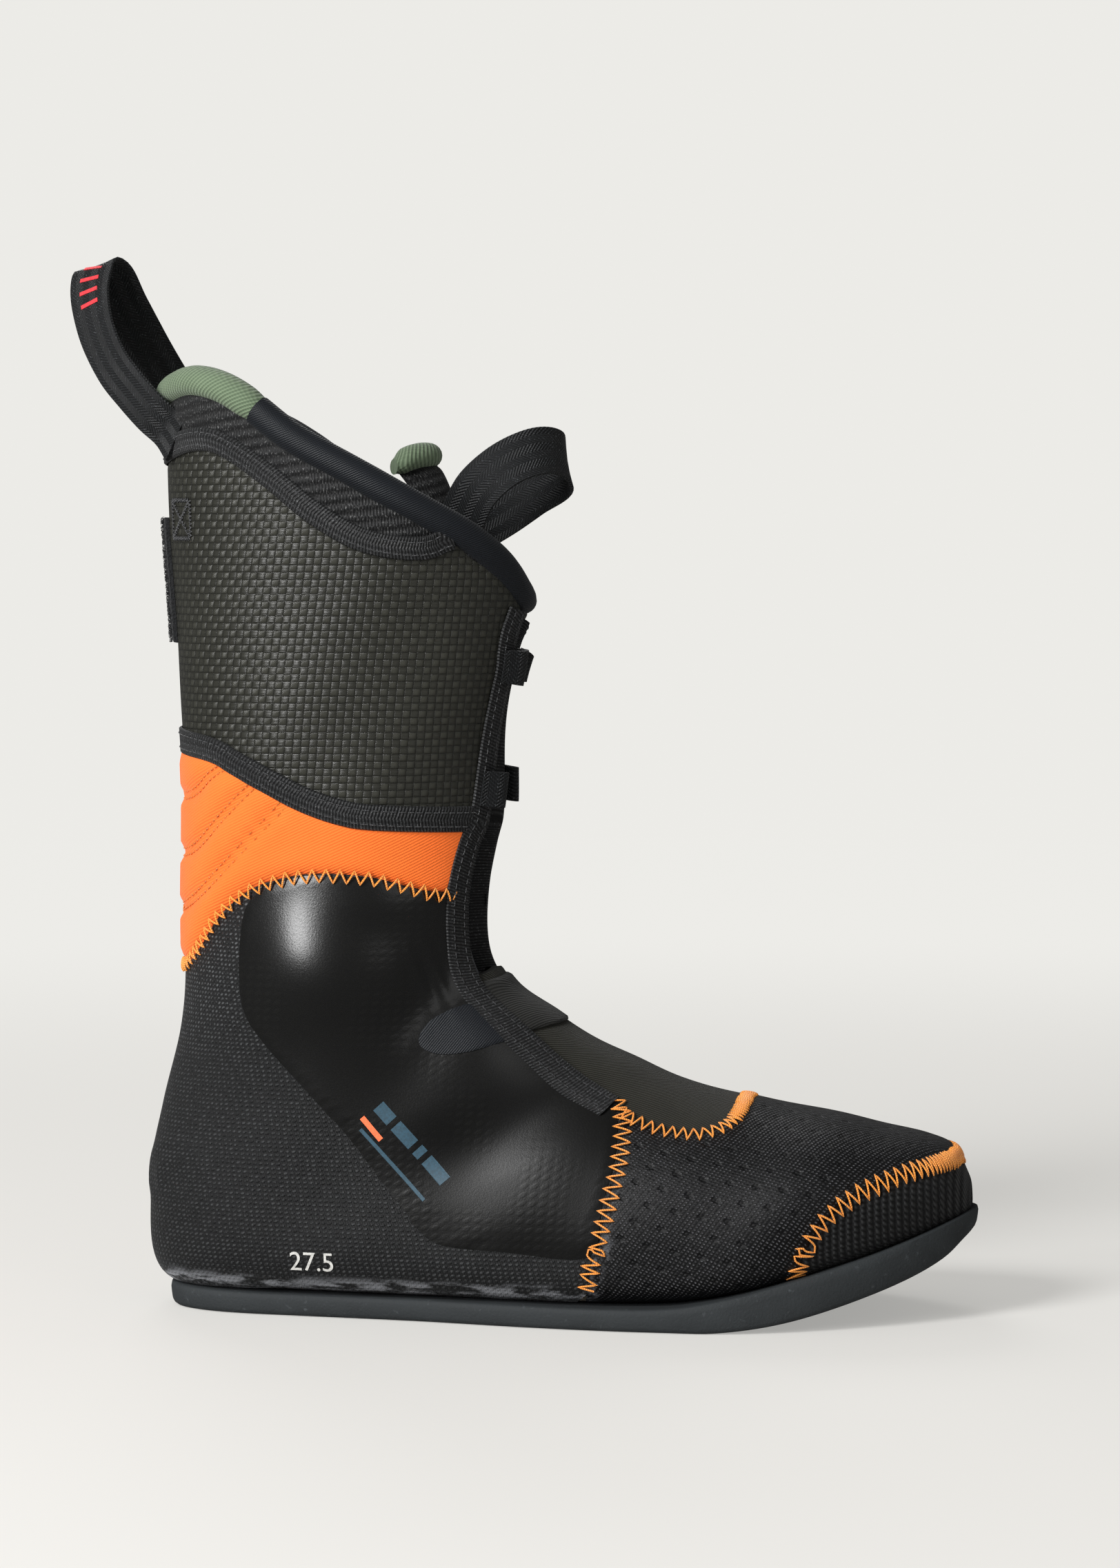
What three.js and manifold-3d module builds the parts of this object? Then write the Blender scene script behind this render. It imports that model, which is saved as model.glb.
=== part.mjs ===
// Inner liner of a touring ski boot: a right foot, size 27.5. The toe points along +X, the outer side along -Y.
// Millimetres. X is measured from the back of the heel while shapes are drawn, and Z from the ground.
import * as THREE from 'three';
import { mergeVertices } from 'three/addons/utils/BufferGeometryUtils.js';
import Module from 'manifold-3d';

const wasm = await Module();
wasm.setup();

// Driving dimensions.
const ORIGIN_X = 90; // the origin stands on the flat of the sole, this far in front of the heel
const GAP = 0.3; // between neighbours
const SHELL = 7; // foam wall of the heel and the cuff
const TOE_SHELL = 4; // thinner wall of the toe box
const LINING_TOP = -7.3; // offsets of the lining's two faces from the outer skin
const LINING_BOTTOM = -8.5;
const TAPE_TOP = 1.5; // the tapes and straps lie on the skin
const FILM_TOP = 0.9;
const TAB_BOTTOM = 1.2;
const TAB_TOP = 2.0;
const ROUND_STEPS = 20; // facets round one section
const SLOT_HALF = 17; // half the width of the throat's opening down the shin
const SLOT_DEPTH = 22;

// Every cutter reaches to these limits, outside the liner.
const SIDE = 80;
const REAR_END = -60;
const FRONT_END = 330;
const LOW_END = -60;
const HIGH_END = 420;

// Sections of the boot's last. Each is a closed oval that stands across the mid-plane, from a point on the
// front or top line to a point on the rear or bottom line. half is its half width, belly is where along
// the section it is widest, and roundness is the superellipse power of its front and its rear part.
// drift moves the section towards the big toe.
const sections = [
  { front: [150, 300], rear: [4, 340], half: 58, belly: 0.50, roundness: [2.2, 2.2], drift: 0 },
  { front: [138, 250], rear: [8, 278], half: 54, belly: 0.50, roundness: [2.2, 2.2], drift: 0 },
  { front: [128, 206], rear: [11, 226], half: 50, belly: 0.50, roundness: [2.2, 2.2], drift: 0 },
  { front: [124, 172], rear: [12.5, 184], half: 45, belly: 0.50, roundness: [2.2, 2.2], drift: 0 },
  { front: [120, 148], rear: [13, 150], half: 41, belly: 0.50, roundness: [2.2, 2.2], drift: 0 },
  { front: [120, 128], rear: [12.5, 120], half: 39, belly: 0.50, roundness: [2.2, 2.2], drift: 0 },
  { front: [128, 112], rear: [10, 97], half: 39, belly: 0.50, roundness: [2.2, 2.2], drift: 0 },
  { front: [143, 102], rear: [4, 70], half: 40, belly: 0.52, roundness: [2.2, 2.2], drift: 0 },
  { front: [158, 93], rear: [0, 40], half: 41, belly: 0.54, roundness: [2.2, 2.3], drift: 0 },
  { front: [172, 87], rear: [7, 9], half: 42, belly: 0.57, roundness: [2.2, 2.5], drift: 0 },
  { front: [186, 81], rear: [60, 8], half: 45, belly: 0.62, roundness: [2.2, 3.4], drift: 0 },
  { front: [200, 76], rear: [110, 8], half: 48, belly: 0.66, roundness: [2.2, 4.0], drift: 1 },
  { front: [215, 73], rear: [155, 8], half: 51, belly: 0.70, roundness: [2.2, 4.5], drift: 2 },
  { front: [235, 69.5], rear: [195, 10], half: 53, belly: 0.72, roundness: [2.3, 4.5], drift: 4 },
  { front: [255, 64.5], rear: [228, 17], half: 53, belly: 0.72, roundness: [2.4, 4.5], drift: 6 },
  { front: [270, 61], rear: [255, 25.5], half: 53, belly: 0.70, roundness: [2.5, 4.0], drift: 8 },
  { front: [279, 57], rear: [273, 32], half: 53, belly: 0.65, roundness: [2.5, 3.5], drift: 9 },
  { front: [284, 48], rear: [284, 37], half: 53, belly: 0.60, roundness: [2.5, 3.0], drift: 10 },
];
const LAST_SECTION = sections.length - 1;
const TOE_ROUND_START = 236; // from here the toe narrows in plan as a quarter of an ellipse
const TOE_ROUND_END = 285.5;
const TOE_SECTION = 13;
const SOLE_START = 8.7; // section numbers between which the rear line turns into the bottom line
const SOLE_FULL = 10;

// Seams, drawn in side view as [x, z].
const collarLine = [
  [-30, 304], [3, 314], [20, 319], [38, 314], [56, 304], [81, 291], [105, 276], [120, 267], [131, 255],
  [136, 245], [160, 225],
];
const topTapeUpper = [
  [-30, 296], [3, 298], [21, 303], [32, 303], [42, 298], [55, 289], [69, 278], [83, 270], [96, 267],
  [106, 267], [114, 270], [121, 262], [150, 245],
];
const TOP_TAPE_WIDTH = 7.5;
const hemLine = [
  [-30, 203], [9, 197], [29, 194], [38, 190], [50, 184], [62, 178], [74, 174], [86, 172], [118, 170.5],
  [160, 170],
];
const HEM_TAPE_WIDTH = 7.5;
const flexLine = [
  [-30, 112], [10, 118], [20, 124], [30, 137], [41, 146], [52, 150.5], [66, 153], [84, 152], [98, 148],
  [111, 145], [160, 142],
];
const throatLine = [
  [152, 300], [138, 258], [133, 241], [129.5, 228], [126, 200], [123.5, 184], [120.5, 170], [117, 160],
  [114, 146], [113.5, 133], [116, 120], [123, 109], [138, 96], [154, 83], [166, 76],
];
const instepSeam = [[166, 76], [169, 71.5], [180, 67], [193, 65], [200, 66], [206, 69], [208.5, 74], [209, 95]];
const sideSeam = [[166, 76], [169, 70], [169, 56], [166, 41], [162, 25], [156, -5]];
const bumperSeam = [
  [226, -5], [229, 18], [233, 29], [238, 37], [247, 45], [258, 50], [268, 53], [277, 55], [310, 58],
];
const soleTopLine = [
  [-30, 8], [10, 8], [40, 7.7], [110, 7.7], [175, 7.8], [200, 10.4], [229, 17.7], [258, 26.4], [286, 37],
  [310, 48],
];

const looks = {
  knit: { color: '#1e1f21', roughness: 0.85 },
  weave: { color: '#3a3a34', roughness: 0.55 },
  film: { color: '#2d2d2b', roughness: 0.25 },
  orange: { color: '#ff7d32', roughness: 0.8 },
  green: { color: '#789173', roughness: 0.85 },
  navy: { color: '#191e26', roughness: 0.7 },
  tape: { color: '#17181a', roughness: 0.7 },
  elastic: { color: '#282721', roughness: 0.8 },
  foam: { color: '#303437', roughness: 0.9 },
  lining: { color: '#55585c', roughness: 0.9 },
  board: { color: '#c9c2b0', roughness: 0.9 },
};

const group = new THREE.Group();
group.position.x = -ORIGIN_X;

function add(name, geometry, look) {
  const material = new THREE.MeshStandardMaterial({ ...looks[look], metalness: 0 });
  const mesh = new THREE.Mesh(geometry, material);
  mesh.name = name;
  group.add(mesh);
}

// Catmull-Rom interpolation of one value along the numbered sections.
function along(values, position) {
  const index = Math.max(0, Math.min(Math.floor(position), values.length - 2));
  const f = position - index;
  const before = values[Math.max(index - 1, 0)];
  const a = values[index];
  const b = values[index + 1];
  const after = values[Math.min(index + 2, values.length - 1)];
  const slope = b - before;
  const bend = 2 * before - 5 * a + 4 * b - after;
  const twist = -before + 3 * a - 3 * b + after;
  return 0.5 * (2 * a + slope * f + bend * f ** 2 + twist * f ** 3);
}

const tracks = {
  frontX: sections.map((s) => s.front[0]),
  frontZ: sections.map((s) => s.front[1]),
  rearX: sections.map((s) => s.rear[0]),
  rearZ: sections.map((s) => s.rear[1]),
  half: sections.map((s) => s.half),
  belly: sections.map((s) => s.belly),
  frontPower: sections.map((s) => s.roundness[0]),
  rearPower: sections.map((s) => s.roundness[1]),
  drift: sections.map((s) => s.drift),
};

function smooth(from, to, value) {
  const f = THREE.MathUtils.clamp((value - from) / (to - from), 0, 1);
  return f * f * (3 - 2 * f);
}

// A point of the skin, moved out by offset. position counts sections, and turn runs from 0 at the front
// over 0.25 on the outer side to 0.5 at the rear and 0.75 on the inner side.
function skin(position, turn, offset) {
  const front = new THREE.Vector2(along(tracks.frontX, position), along(tracks.frontZ, position));
  const rear = new THREE.Vector2(along(tracks.rearX, position), along(tracks.rearZ, position));
  const line = rear.clone().sub(front).normalize();
  const soleShare = smooth(SOLE_START, SOLE_FULL, position);
  const rearOffset = offset + soleShare * (2 - 1.3 * offset);
  front.addScaledVector(line, -offset);
  rear.addScaledVector(line, rearOffset);
  const toeReach = (along(tracks.frontX, position) - TOE_ROUND_START) / (TOE_ROUND_END - TOE_ROUND_START);
  const toeRound = position < TOE_SECTION ? 1 : Math.sqrt(1 - Math.max(0, toeReach) ** 2);
  const toeShare = smooth(TOE_SECTION, LAST_SECTION, position);
  front.x += offset * toeShare;
  rear.x += offset * toeShare;
  const angle = 2 * Math.PI * turn;
  const power = 2 / along(Math.cos(angle) >= 0 ? tracks.frontPower : tracks.rearPower, position);
  const reach = Math.abs(Math.cos(angle)) ** power;
  const spread = Math.sign(Math.sin(angle)) * Math.abs(Math.sin(angle)) ** power;
  const belly = along(tracks.belly, position);
  const share = Math.cos(angle) >= 0 ? belly * (1 - reach) : belly + (1 - belly) * reach;
  const place = front.lerp(rear, share);
  const half = (along(tracks.half, position) + offset) * toeRound;
  return new THREE.Vector3(place.x, along(tracks.drift, position) - half * spread, place.y);
}

// Closed mesh round a row of rings, which all have the same number of points.
function skinOver(rings) {
  const count = rings[0].length;
  const positions = rings.flat().flatMap((p) => [p.x, p.y, p.z]);
  const index = [];
  for (let r = 0; r < rings.length - 1; r += 1) {
    for (let i = 0; i < count; i += 1) {
      const a = r * count + i;
      const b = r * count + ((i + 1) % count);
      index.push(a, b, a + count, b, b + count, a + count);
    }
  }
  for (const [row, flip] of [[0, true], [rings.length - 1, false]]) {
    const centre = rings[row].reduce((sum, p) => sum.add(p), new THREE.Vector3()).divideScalar(count);
    const middle = positions.length / 3;
    positions.push(centre.x, centre.y, centre.z);
    for (let i = 0; i < count; i += 1) {
      const a = row * count + i;
      const b = row * count + ((i + 1) % count);
      index.push(...(flip ? [middle, b, a] : [middle, a, b]));
    }
  }
  const geometry = new THREE.BufferGeometry();
  geometry.setAttribute('position', new THREE.Float32BufferAttribute(positions, 3));
  geometry.setIndex(index);
  return geometry;
}

function toSolid(geometry) {
  const bare = geometry.clone();
  bare.deleteAttribute('normal');
  bare.deleteAttribute('uv');
  const merged = mergeVertices(bare, 1e-4);
  const vertProperties = new Float32Array(merged.attributes.position.array);
  const triVerts = new Uint32Array(merged.index.array);
  const solid = new wasm.Manifold(new wasm.Mesh({ numProp: 3, vertProperties, triVerts }));
  if (solid.volume() > 0) return solid;
  return new wasm.Manifold(new wasm.Mesh({ numProp: 3, vertProperties, triVerts: triVerts.reverse() }));
}

function toGeometry(solid) {
  const mesh = solid.getMesh();
  const geometry = new THREE.BufferGeometry();
  geometry.setAttribute('position', new THREE.Float32BufferAttribute(mesh.vertProperties, 3));
  geometry.setIndex([...mesh.triVerts]);
  geometry.computeVertexNormals();
  return geometry;
}

// The whole last as one closed solid, moved out by offset.
const HEEL_SECTIONS = [8, 11]; // between these the sections fan out round the heel, in half steps
function last(offset) {
  const fine = (p) => (p >= HEEL_SECTIONS[0] && p < HEEL_SECTIONS[1]) || p >= TOE_SECTION;
  const places = [];
  for (let p = 0; p <= LAST_SECTION; p += fine(p) ? 0.5 : 1) places.push(p);
  const turns = Array.from({ length: ROUND_STEPS }, (_, i) => i / ROUND_STEPS);
  return toSolid(skinOver(places.map((p) => turns.map((t) => skin(p, t, offset)))));
}

// The wall between two offsets of the last.
function wall(outer, inner) {
  return last(outer).subtract(last(inner));
}

function box(low, high) {
  const geometry = new THREE.BoxGeometry(high[0] - low[0], high[1] - low[1], high[2] - low[2]);
  geometry.translate((low[0] + high[0]) / 2, (low[1] + high[1]) / 2, (low[2] + high[2]) / 2);
  return toSolid(geometry);
}

// A smooth seam through the drawn points.
function seam(points, stepsPerSpan = 1) {
  const curve = new THREE.SplineCurve(points.map(([x, z]) => new THREE.Vector2(x, z)));
  return curve.getPoints(stepsPerSpan * (points.length - 1));
}

function moved(points, dx, dz) {
  return points.map((p) => new THREE.Vector2(p.x + dx, p.y + dz));
}

// A side-view outline carried straight across the liner, from one y to another.
function cutter(outline, from = -SIDE, to = SIDE) {
  const shape = new THREE.Shape(outline);
  const geometry = new THREE.ExtrudeGeometry(shape, { depth: to - from, bevelEnabled: false });
  geometry.rotateX(Math.PI / 2);
  geometry.translate(0, to, 0);
  return toSolid(geometry);
}

const point = (x, z) => new THREE.Vector2(x, z);
const outlineOf = (points) => points.map(([x, z]) => point(x, z));
const closedAt = (line, z) => [...line, point(FRONT_END, z), point(REAR_END, z)];
const below = (line, drop) => cutter(closedAt(moved(line, 0, -drop), LOW_END));
const above = (line, lift) => cutter(closedAt(moved(line, 0, lift), HIGH_END));

// The band between an upper and a lower seam that both run from the rear to the front.
function band(upper, lower) {
  return below(upper, 0).intersect(above(lower, 0));
}

const collar = seam(collarLine);
const topTape = seam(topTapeUpper);
const hem = seam(hemLine);
const flex = seam(flexLine);
const soleTop = seam(soleTopLine);
const throat = seam(throatLine);
const instep = seam(instepSeam);
const side = seam(sideSeam);
const bumper = seam(bumperSeam);
const HALF_GAP = GAP / 2;

// Everything in front of and above the throat's edge and the seam across the instep, and the slot down
// the shin between the throat's two edges.
const overInstep = [...throat, ...instep.slice(1), point(FRONT_END, 95), point(FRONT_END, HIGH_END)];
const downShin = [...moved(throat, -SLOT_DEPTH, 0), point(FRONT_END, 76), point(FRONT_END, HIGH_END)];
const throatOpening = cutter(overInstep).add(cutter(downShin, -SLOT_HALF, SLOT_HALF));

// Keeps the largest body of a cut, since a cut can leave crumbs at the edge of a seam.
function largest(solid) {
  const bodies = solid.decompose();
  return bodies.reduce((best, body) => (body.volume() > best.volume() ? body : best));
}

// Foam wall, cut along its seams.
const foam = wall(0, -SHELL);
const openFoam = foam.subtract(throatOpening);
const midTape = moved(topTape, 0, -TOP_TAPE_WIDTH / 2);
const underRolls = below(moved(collar, -2.5, -6.2), 0); // the collar's rolls stand on the wall's edge
const mesh = openFoam.intersect(underRolls).intersect(above(midTape, HALF_GAP));
add('collar_mesh', toGeometry(largest(mesh)), 'knit');
const cuffBand = band(moved(midTape, 0, -HALF_GAP), moved(hem, 0, HALF_GAP));
const cuff = openFoam.intersect(underRolls).intersect(cuffBand);
add('cuff_shell', toGeometry(largest(cuff)), 'weave');
const flexWall = wall(0, LINING_BOTTOM).subtract(throatOpening);
const flexZone = flexWall.intersect(band(moved(hem, 0, -HALF_GAP), moved(flex, 0, HALF_GAP)));
add('flex_zone', toGeometry(largest(flexZone)), 'orange');

// The ankle pads are ovals that lie in pockets in the foam, round the ankle bones.
const PAD_DEPTH = -3.3;
const ANKLE = [62, 108];
const padOutline = (margin) => (
  new THREE.EllipseCurve(...ANKLE, 22 + margin, 26 + margin, 0, 2 * Math.PI).getPoints(18).slice(0, -1)
);
const pocket = last(PAD_DEPTH + GAP).intersect(cutter(padOutline(GAP)));
const behindSide = cutter([
  ...moved(side, -HALF_GAP, 0), point(REAR_END, -5), point(REAR_END, HIGH_END), point(166, HIGH_END),
]);
const heel = openFoam
  .intersect(below(flex, HALF_GAP))
  .intersect(above(soleTop, GAP))
  .intersect(behindSide)
  .subtract(pocket);
add('foot_shell', toGeometry(largest(heel)), 'knit');
const padLayer = last(PAD_DEPTH).subtract(last(-SHELL));
const HALVES = [['lateral', -SIDE, 0], ['medial', 0, SIDE]];
for (const [sideName, from, to] of HALVES) {
  const pad = padLayer.intersect(cutter(padOutline(0), from, to));
  add(`ankle_pad_${sideName}`, toGeometry(largest(pad)), 'foam');
}

const toeWall = wall(0, -TOE_SHELL).subtract(throatOpening).intersect(above(soleTop, GAP));
const aheadOfSide = cutter([
  ...moved(side, HALF_GAP, 0), point(FRONT_END, -5), point(FRONT_END, HIGH_END), point(166, HIGH_END),
]);
const toe = toeWall.intersect(aheadOfSide);
const underBumper = (shift) => cutter([...moved(bumper, -shift, shift), point(FRONT_END, -5)]);
add('toe_box', toGeometry(largest(toe.subtract(underBumper(HALF_GAP)))), 'knit');
add('toe_bumper', toGeometry(largest(toe.intersect(underBumper(-HALF_GAP)))), 'knit');

// Lining of the cuff and of the heel, with a break at the flex zone.
const lining = wall(LINING_TOP, LINING_BOTTOM).subtract(throatOpening);
const cuffLining = lining.intersect(band(moved(collar, -4, -9), moved(hem, 0, 1)));
add('cuff_lining', toGeometry(largest(cuffLining)), 'lining');
const FOOTBED_BOTTOM = 3.1; // heights above the sole's top line
const FOOTBED_TOP = 6.6;
const BOARD_TOP = 2.8;
const HEEL_LINING_FRONT = 150;
const heelLining = lining
  .intersect(below(flex, 1))
  .intersect(above(soleTop, FOOTBED_BOTTOM))
  .intersect(box([REAR_END, -SIDE, LOW_END], [HEEL_LINING_FRONT, SIDE, HIGH_END]));
add('heel_lining', toGeometry(largest(heelLining)), 'lining');
const board = last(-SHELL - 0.5).intersect(band(moved(soleTop, 0, BOARD_TOP), moved(soleTop, 0, GAP)));
add('lasting_board', toGeometry(largest(board)), 'board');
const footbed = last(LINING_BOTTOM - 0.5)
  .intersect(band(moved(soleTop, 0, FOOTBED_TOP), moved(soleTop, 0, FOOTBED_BOTTOM)));
add('footbed', toGeometry(largest(footbed)), 'lining');

// Outsole: a plate with a rounded heel, flared at the ball and rocked up at the toe.
const soleOutline = [
  [4, 0], [10, -21], [30, -33], [62, -38], [100, -42], [140, -48], [180, -51], [212, -49], [245, -38], [270, -22],
  [285, -4], [287, 12], [280, 30], [262, 47], [235, 57], [200, 57], [160, 50], [110, 43], [62, 38], [30, 33], [10, 21],
];
const groundLine = [
  [-30, 0], [20, 0], [100, 0], [180, 0], [204, 0.2], [229, 4], [258, 13], [276, 21], [287, 30], [310, 44],
];
const ring = new THREE.CatmullRomCurve3(soleOutline.map(([x, y]) => new THREE.Vector3(x, y, 0)), true);
const outlinePoints = ring.getPoints(56).slice(0, -1);
const SOLE_MIDDLE = 140;
const BEVEL_HEIGHT = 3; // the underside is cut in a little along its edge
const BEVEL_SHRINK = 0.965;
const soleRing = (z, scale) => outlinePoints.map((p) => (
  new THREE.Vector3(SOLE_MIDDLE + (p.x - SOLE_MIDDLE) * scale, p.y * scale, z)
));
const soleRings = [
  soleRing(-20, BEVEL_SHRINK), soleRing(0, BEVEL_SHRINK), soleRing(BEVEL_HEIGHT, 1), soleRing(70, 1),
];
const sole = toSolid(skinOver(soleRings)).intersect(band(soleTop, seam(groundLine)));
add('outsole', toGeometry(largest(sole)), 'foam');

// Overlays on the skin: film, tapes, strap and tabs.
const shinSlot = box([100, -SLOT_HALF, 130], [200, SLOT_HALF, FRONT_END]);
const tapeLayer = last(TAPE_TOP).subtract(last(GAP)).subtract(shinSlot);
const filmLayer = last(FILM_TOP).subtract(last(GAP));
const tabLayer = last(TAB_TOP).subtract(last(TAB_BOTTOM));
const TAPE_SETBACK = 0.4; // the throat tapes end this far behind the throat's edge
const cuffTapeOutline = [
  [128, 238], [124, 223], [119.5, 196], [114.5, 172.5], [121, 172.5], [123.5, 184], [126, 200], [129.5, 228],
  [131.5, 234],
];
const footTapeOutline = [
  [106.5, 144], [106, 133], [107, 120], [111, 108], [120, 97], [133, 86], [150, 78.5], [163, 74.5], [165, 76],
  [154, 83], [138, 96], [123, 109], [116, 120], [113.5, 133], [114, 144],
];
const behindEdge = (points) => moved(outlineOf(points), -TAPE_SETBACK, 0);
const filmOutline = [
  [47, 147], [41, 141], [39, 128], [40, 107], [47, 95], [60, 81], [76, 64], [94, 42], [102, 32], [110, 27.5],
  [131, 26], [160, 25], [164, 41], [167.5, 56], [167.5, 69], [161, 73], [149, 77], [132, 84.5], [118.5, 95.5],
  [109.5, 107], [105.5, 120], [104.5, 133], [105, 144.5], [98, 146.5], [84, 150.5], [66, 151.5], [56, 150],
];
const tabOutline = [
  [110, 106.5], [104, 103], [100.5, 98], [101, 94], [107, 91.5], [116, 92], [122, 94], [118, 97],
];
const throatTapeEnds = cutter(moved(behindEdge(cuffTapeOutline), -1, 0))
  .add(box([116, -SIDE, 160], [170, SIDE, 240]));
for (const [sideName, from, to] of HALVES) {
  const pieces = [
    [`throat_tape_cuff_${sideName}`, tapeLayer, behindEdge(cuffTapeOutline), 'tape'],
    [`throat_tape_foot_${sideName}`, tapeLayer, behindEdge(footTapeOutline), 'tape'],
    [`ankle_film_${sideName}`, filmLayer, behindEdge(filmOutline), 'film'],
    [`ankle_tab_${sideName}`, tabLayer, behindEdge(tabOutline), 'knit'],
  ];
  for (const [name, layer, outline, look] of pieces) {
    add(name, toGeometry(largest(layer.intersect(cutter(outline, from, to)))), look);
  }
}
const topTapePiece = tapeLayer
  .intersect(band(topTape, moved(topTape, 0, -TOP_TAPE_WIDTH)))
  .intersect(underRolls);
add('cuff_top_tape', toGeometry(largest(topTapePiece)), 'tape');
const HEM_TAPE_FRONT = 113;
const hemTape = tapeLayer
  .intersect(band(moved(hem, 0, HEM_TAPE_WIDTH / 2), moved(hem, 0, -HEM_TAPE_WIDTH / 2)))
  .subtract(throatTapeEnds)
  .intersect(box([REAR_END, -SIDE, 100], [HEM_TAPE_FRONT, SIDE, HIGH_END]));
add('cuff_hem_tape', toGeometry(largest(hemTape)), 'tape');
const strapOutline = [
  [122.5, 118], [134, 112], [146, 104.5], [146, 89.5], [138.5, 96.3], [123.5, 109.3], [118, 117.5],
];
const strap = tapeLayer.intersect(cutter(moved(outlineOf(strapOutline), GAP, GAP)));
add('instep_strap', toGeometry(largest(strap)), 'elastic');
const PATCH_TOP = 3.2;
const PATCH_HALF = 13;
const patchBox = box([REAR_END, -PATCH_HALF, 230], [40, PATCH_HALF, 273]);
const patch = last(PATCH_TOP).subtract(last(GAP)).intersect(patchBox);
add('strap_patch', toGeometry(largest(patch)), 'tape');

// Stretch panel across the instep, under the tapes.
const PANEL_TOP = -0.8;
const PANEL_BOTTOM = -3.8;
const panelLayer = last(PANEL_TOP).subtract(last(PANEL_BOTTOM));
const panelEdge = [[118, 121], [124.5, 110], [139, 97], [155, 84], [167, 76.8], [170, 72.5]];
const panelFront = moved(instep.slice(4, -1), -0.4, 0.5);
const panelOutline = [...seam(panelEdge), ...panelFront, point(206, 120), point(119, 140)];
add('instep_panel', toGeometry(largest(panelLayer.intersect(cutter(panelOutline)))), 'elastic');

// Where the skin crosses a seam, at a given turn.
function onSeam(line, turn, offset) {
  const height = (x) => {
    const next = line.findIndex((p) => p.x > x);
    const [a, b] = [line[next - 1], line[next]];
    return a.y + ((b.y - a.y) * (x - a.x)) / (b.x - a.x);
  };
  let low = 0;
  let high = 6;
  for (let i = 0; i < 30; i += 1) {
    const middle = (low + high) / 2;
    const p = skin(middle, turn, offset);
    if (p.z > height(p.x)) low = middle;
    else high = middle;
  }
  return skin(low, turn, offset);
}

// A round or flat section carried along stations, each with a centre and two directions across it.
function sweep(stations, section) {
  const rings = stations.map(({ centre, across, out }) => section.map(([a, b]) => (
    centre.clone().addScaledVector(across, a).addScaledVector(out, b)
  )));
  return toGeometry(toSolid(skinOver(rings)));
}

function oval(width, height, steps = 10) {
  return Array.from({ length: steps }, (_, i) => {
    const angle = (2 * Math.PI * i) / steps;
    return [(width / 2) * Math.cos(angle), (height / 2) * Math.sin(angle)];
  });
}

// Padded rolls along the collar's edge.
function roll(fromTurn, toTurn, steps, section) {
  const stations = [];
  for (let i = 0; i <= steps; i += 1) {
    const turn = THREE.MathUtils.lerp(fromTurn, toTurn, i / steps);
    const centre = onSeam(collar, turn, -SHELL / 2);
    const out = onSeam(collar, turn, 0).sub(centre).normalize();
    const tangent = onSeam(collar, turn + 0.01, -SHELL / 2).sub(centre).normalize();
    stations.push({ centre, across: new THREE.Vector3().crossVectors(tangent, out), out });
  }
  return sweep(stations, section);
}
const PAD_TURN = 0.335; // where the thick rear roll meets the slimmer side rolls
const SIDE_TURN = PAD_TURN - 0.002; // leaves the gap between them
const FRONT_TURN = 0.055;
const SIDE_ROLL = oval(8.6, 9.5);
add('collar_pad', roll(PAD_TURN, 1 - PAD_TURN, 16, oval(9.2, 12)), 'green');
add('collar_binding_lateral', roll(FRONT_TURN, SIDE_TURN, 14, SIDE_ROLL), 'navy');
add('collar_binding_medial', roll(1 - SIDE_TURN, 1 - FRONT_TURN, 14, SIDE_ROLL), 'navy');

// A flat pad given by stations: the middle of its front face, half its width, how far its edges sweep
// back, and its thickness.
const PAD_POINTS = 8;
function flatPad(stations) {
  const rings = stations.map(({ x, z, lean, half, sweepBack, thick }) => {
    const forward = new THREE.Vector3(Math.cos(lean), 0, Math.sin(lean));
    const rows = [[], []];
    for (let i = 0; i <= PAD_POINTS; i += 1) {
      const share = (2 * i) / PAD_POINTS - 1;
      const face = new THREE.Vector3(x, share * half, z).addScaledVector(forward, -sweepBack * share * share);
      const taper = 1 - 0.5 * share ** 4;
      rows[0].push(face);
      rows[1].unshift(face.clone().addScaledVector(forward, -thick * taper));
    }
    return [...rows[0], ...rows[1]];
  });
  return toGeometry(toSolid(skinOver(rings)));
}
const TONGUE_THICK = 8;
const TONGUE_HALF = 15.5;
const tongueStation = (x, z, lean) => ({ x, z, lean, half: TONGUE_HALF, sweepBack: 3, thick: TONGUE_THICK });
const shin = [
  tongueStation(106, 290, 0.12), tongueStation(109, 275, 0.12), tongueStation(113, 250, 0.1),
  tongueStation(115.5, 225, 0.08), tongueStation(117, 200, 0.05), tongueStation(115.5, 171, 0.05),
];
add('tongue_shin_pad', flatPad(shin), 'knit');
const flexPanel = [
  tongueStation(115, 169.8, 0.05), tongueStation(112.5, 158, -0.05), tongueStation(110.5, 146, 0),
];
add('tongue_flex_panel', flatPad(flexPanel), 'elastic');
const instepPad = [
  tongueStation(110.5, 144.8, 0), tongueStation(110.5, 132, 0.15), tongueStation(113.5, 118, 0.5),
  tongueStation(122, 105, 0.85), tongueStation(137, 93.5, 1.0), tongueStation(154, 83.5, 1.1),
  tongueStation(172, 76, 1.15),
];
add('tongue_instep_pad', flatPad(instepPad), 'foam');
const bindingStations = [];
for (let i = 0; i <= 8; i += 1) {
  const share = i / 4 - 1;
  const centre = new THREE.Vector3(101.5 - 3 * share * share, TONGUE_HALF * share, 296);
  const tangent = new THREE.Vector3(-6 * share, TONGUE_HALF, 0).normalize();
  const up = new THREE.Vector3(0, 0, 1);
  bindingStations.push({ centre, across: new THREE.Vector3().crossVectors(tangent, up), out: up });
}
add('tongue_top_binding', sweep(bindingStations, oval(9.5, 8)), 'green');

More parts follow.
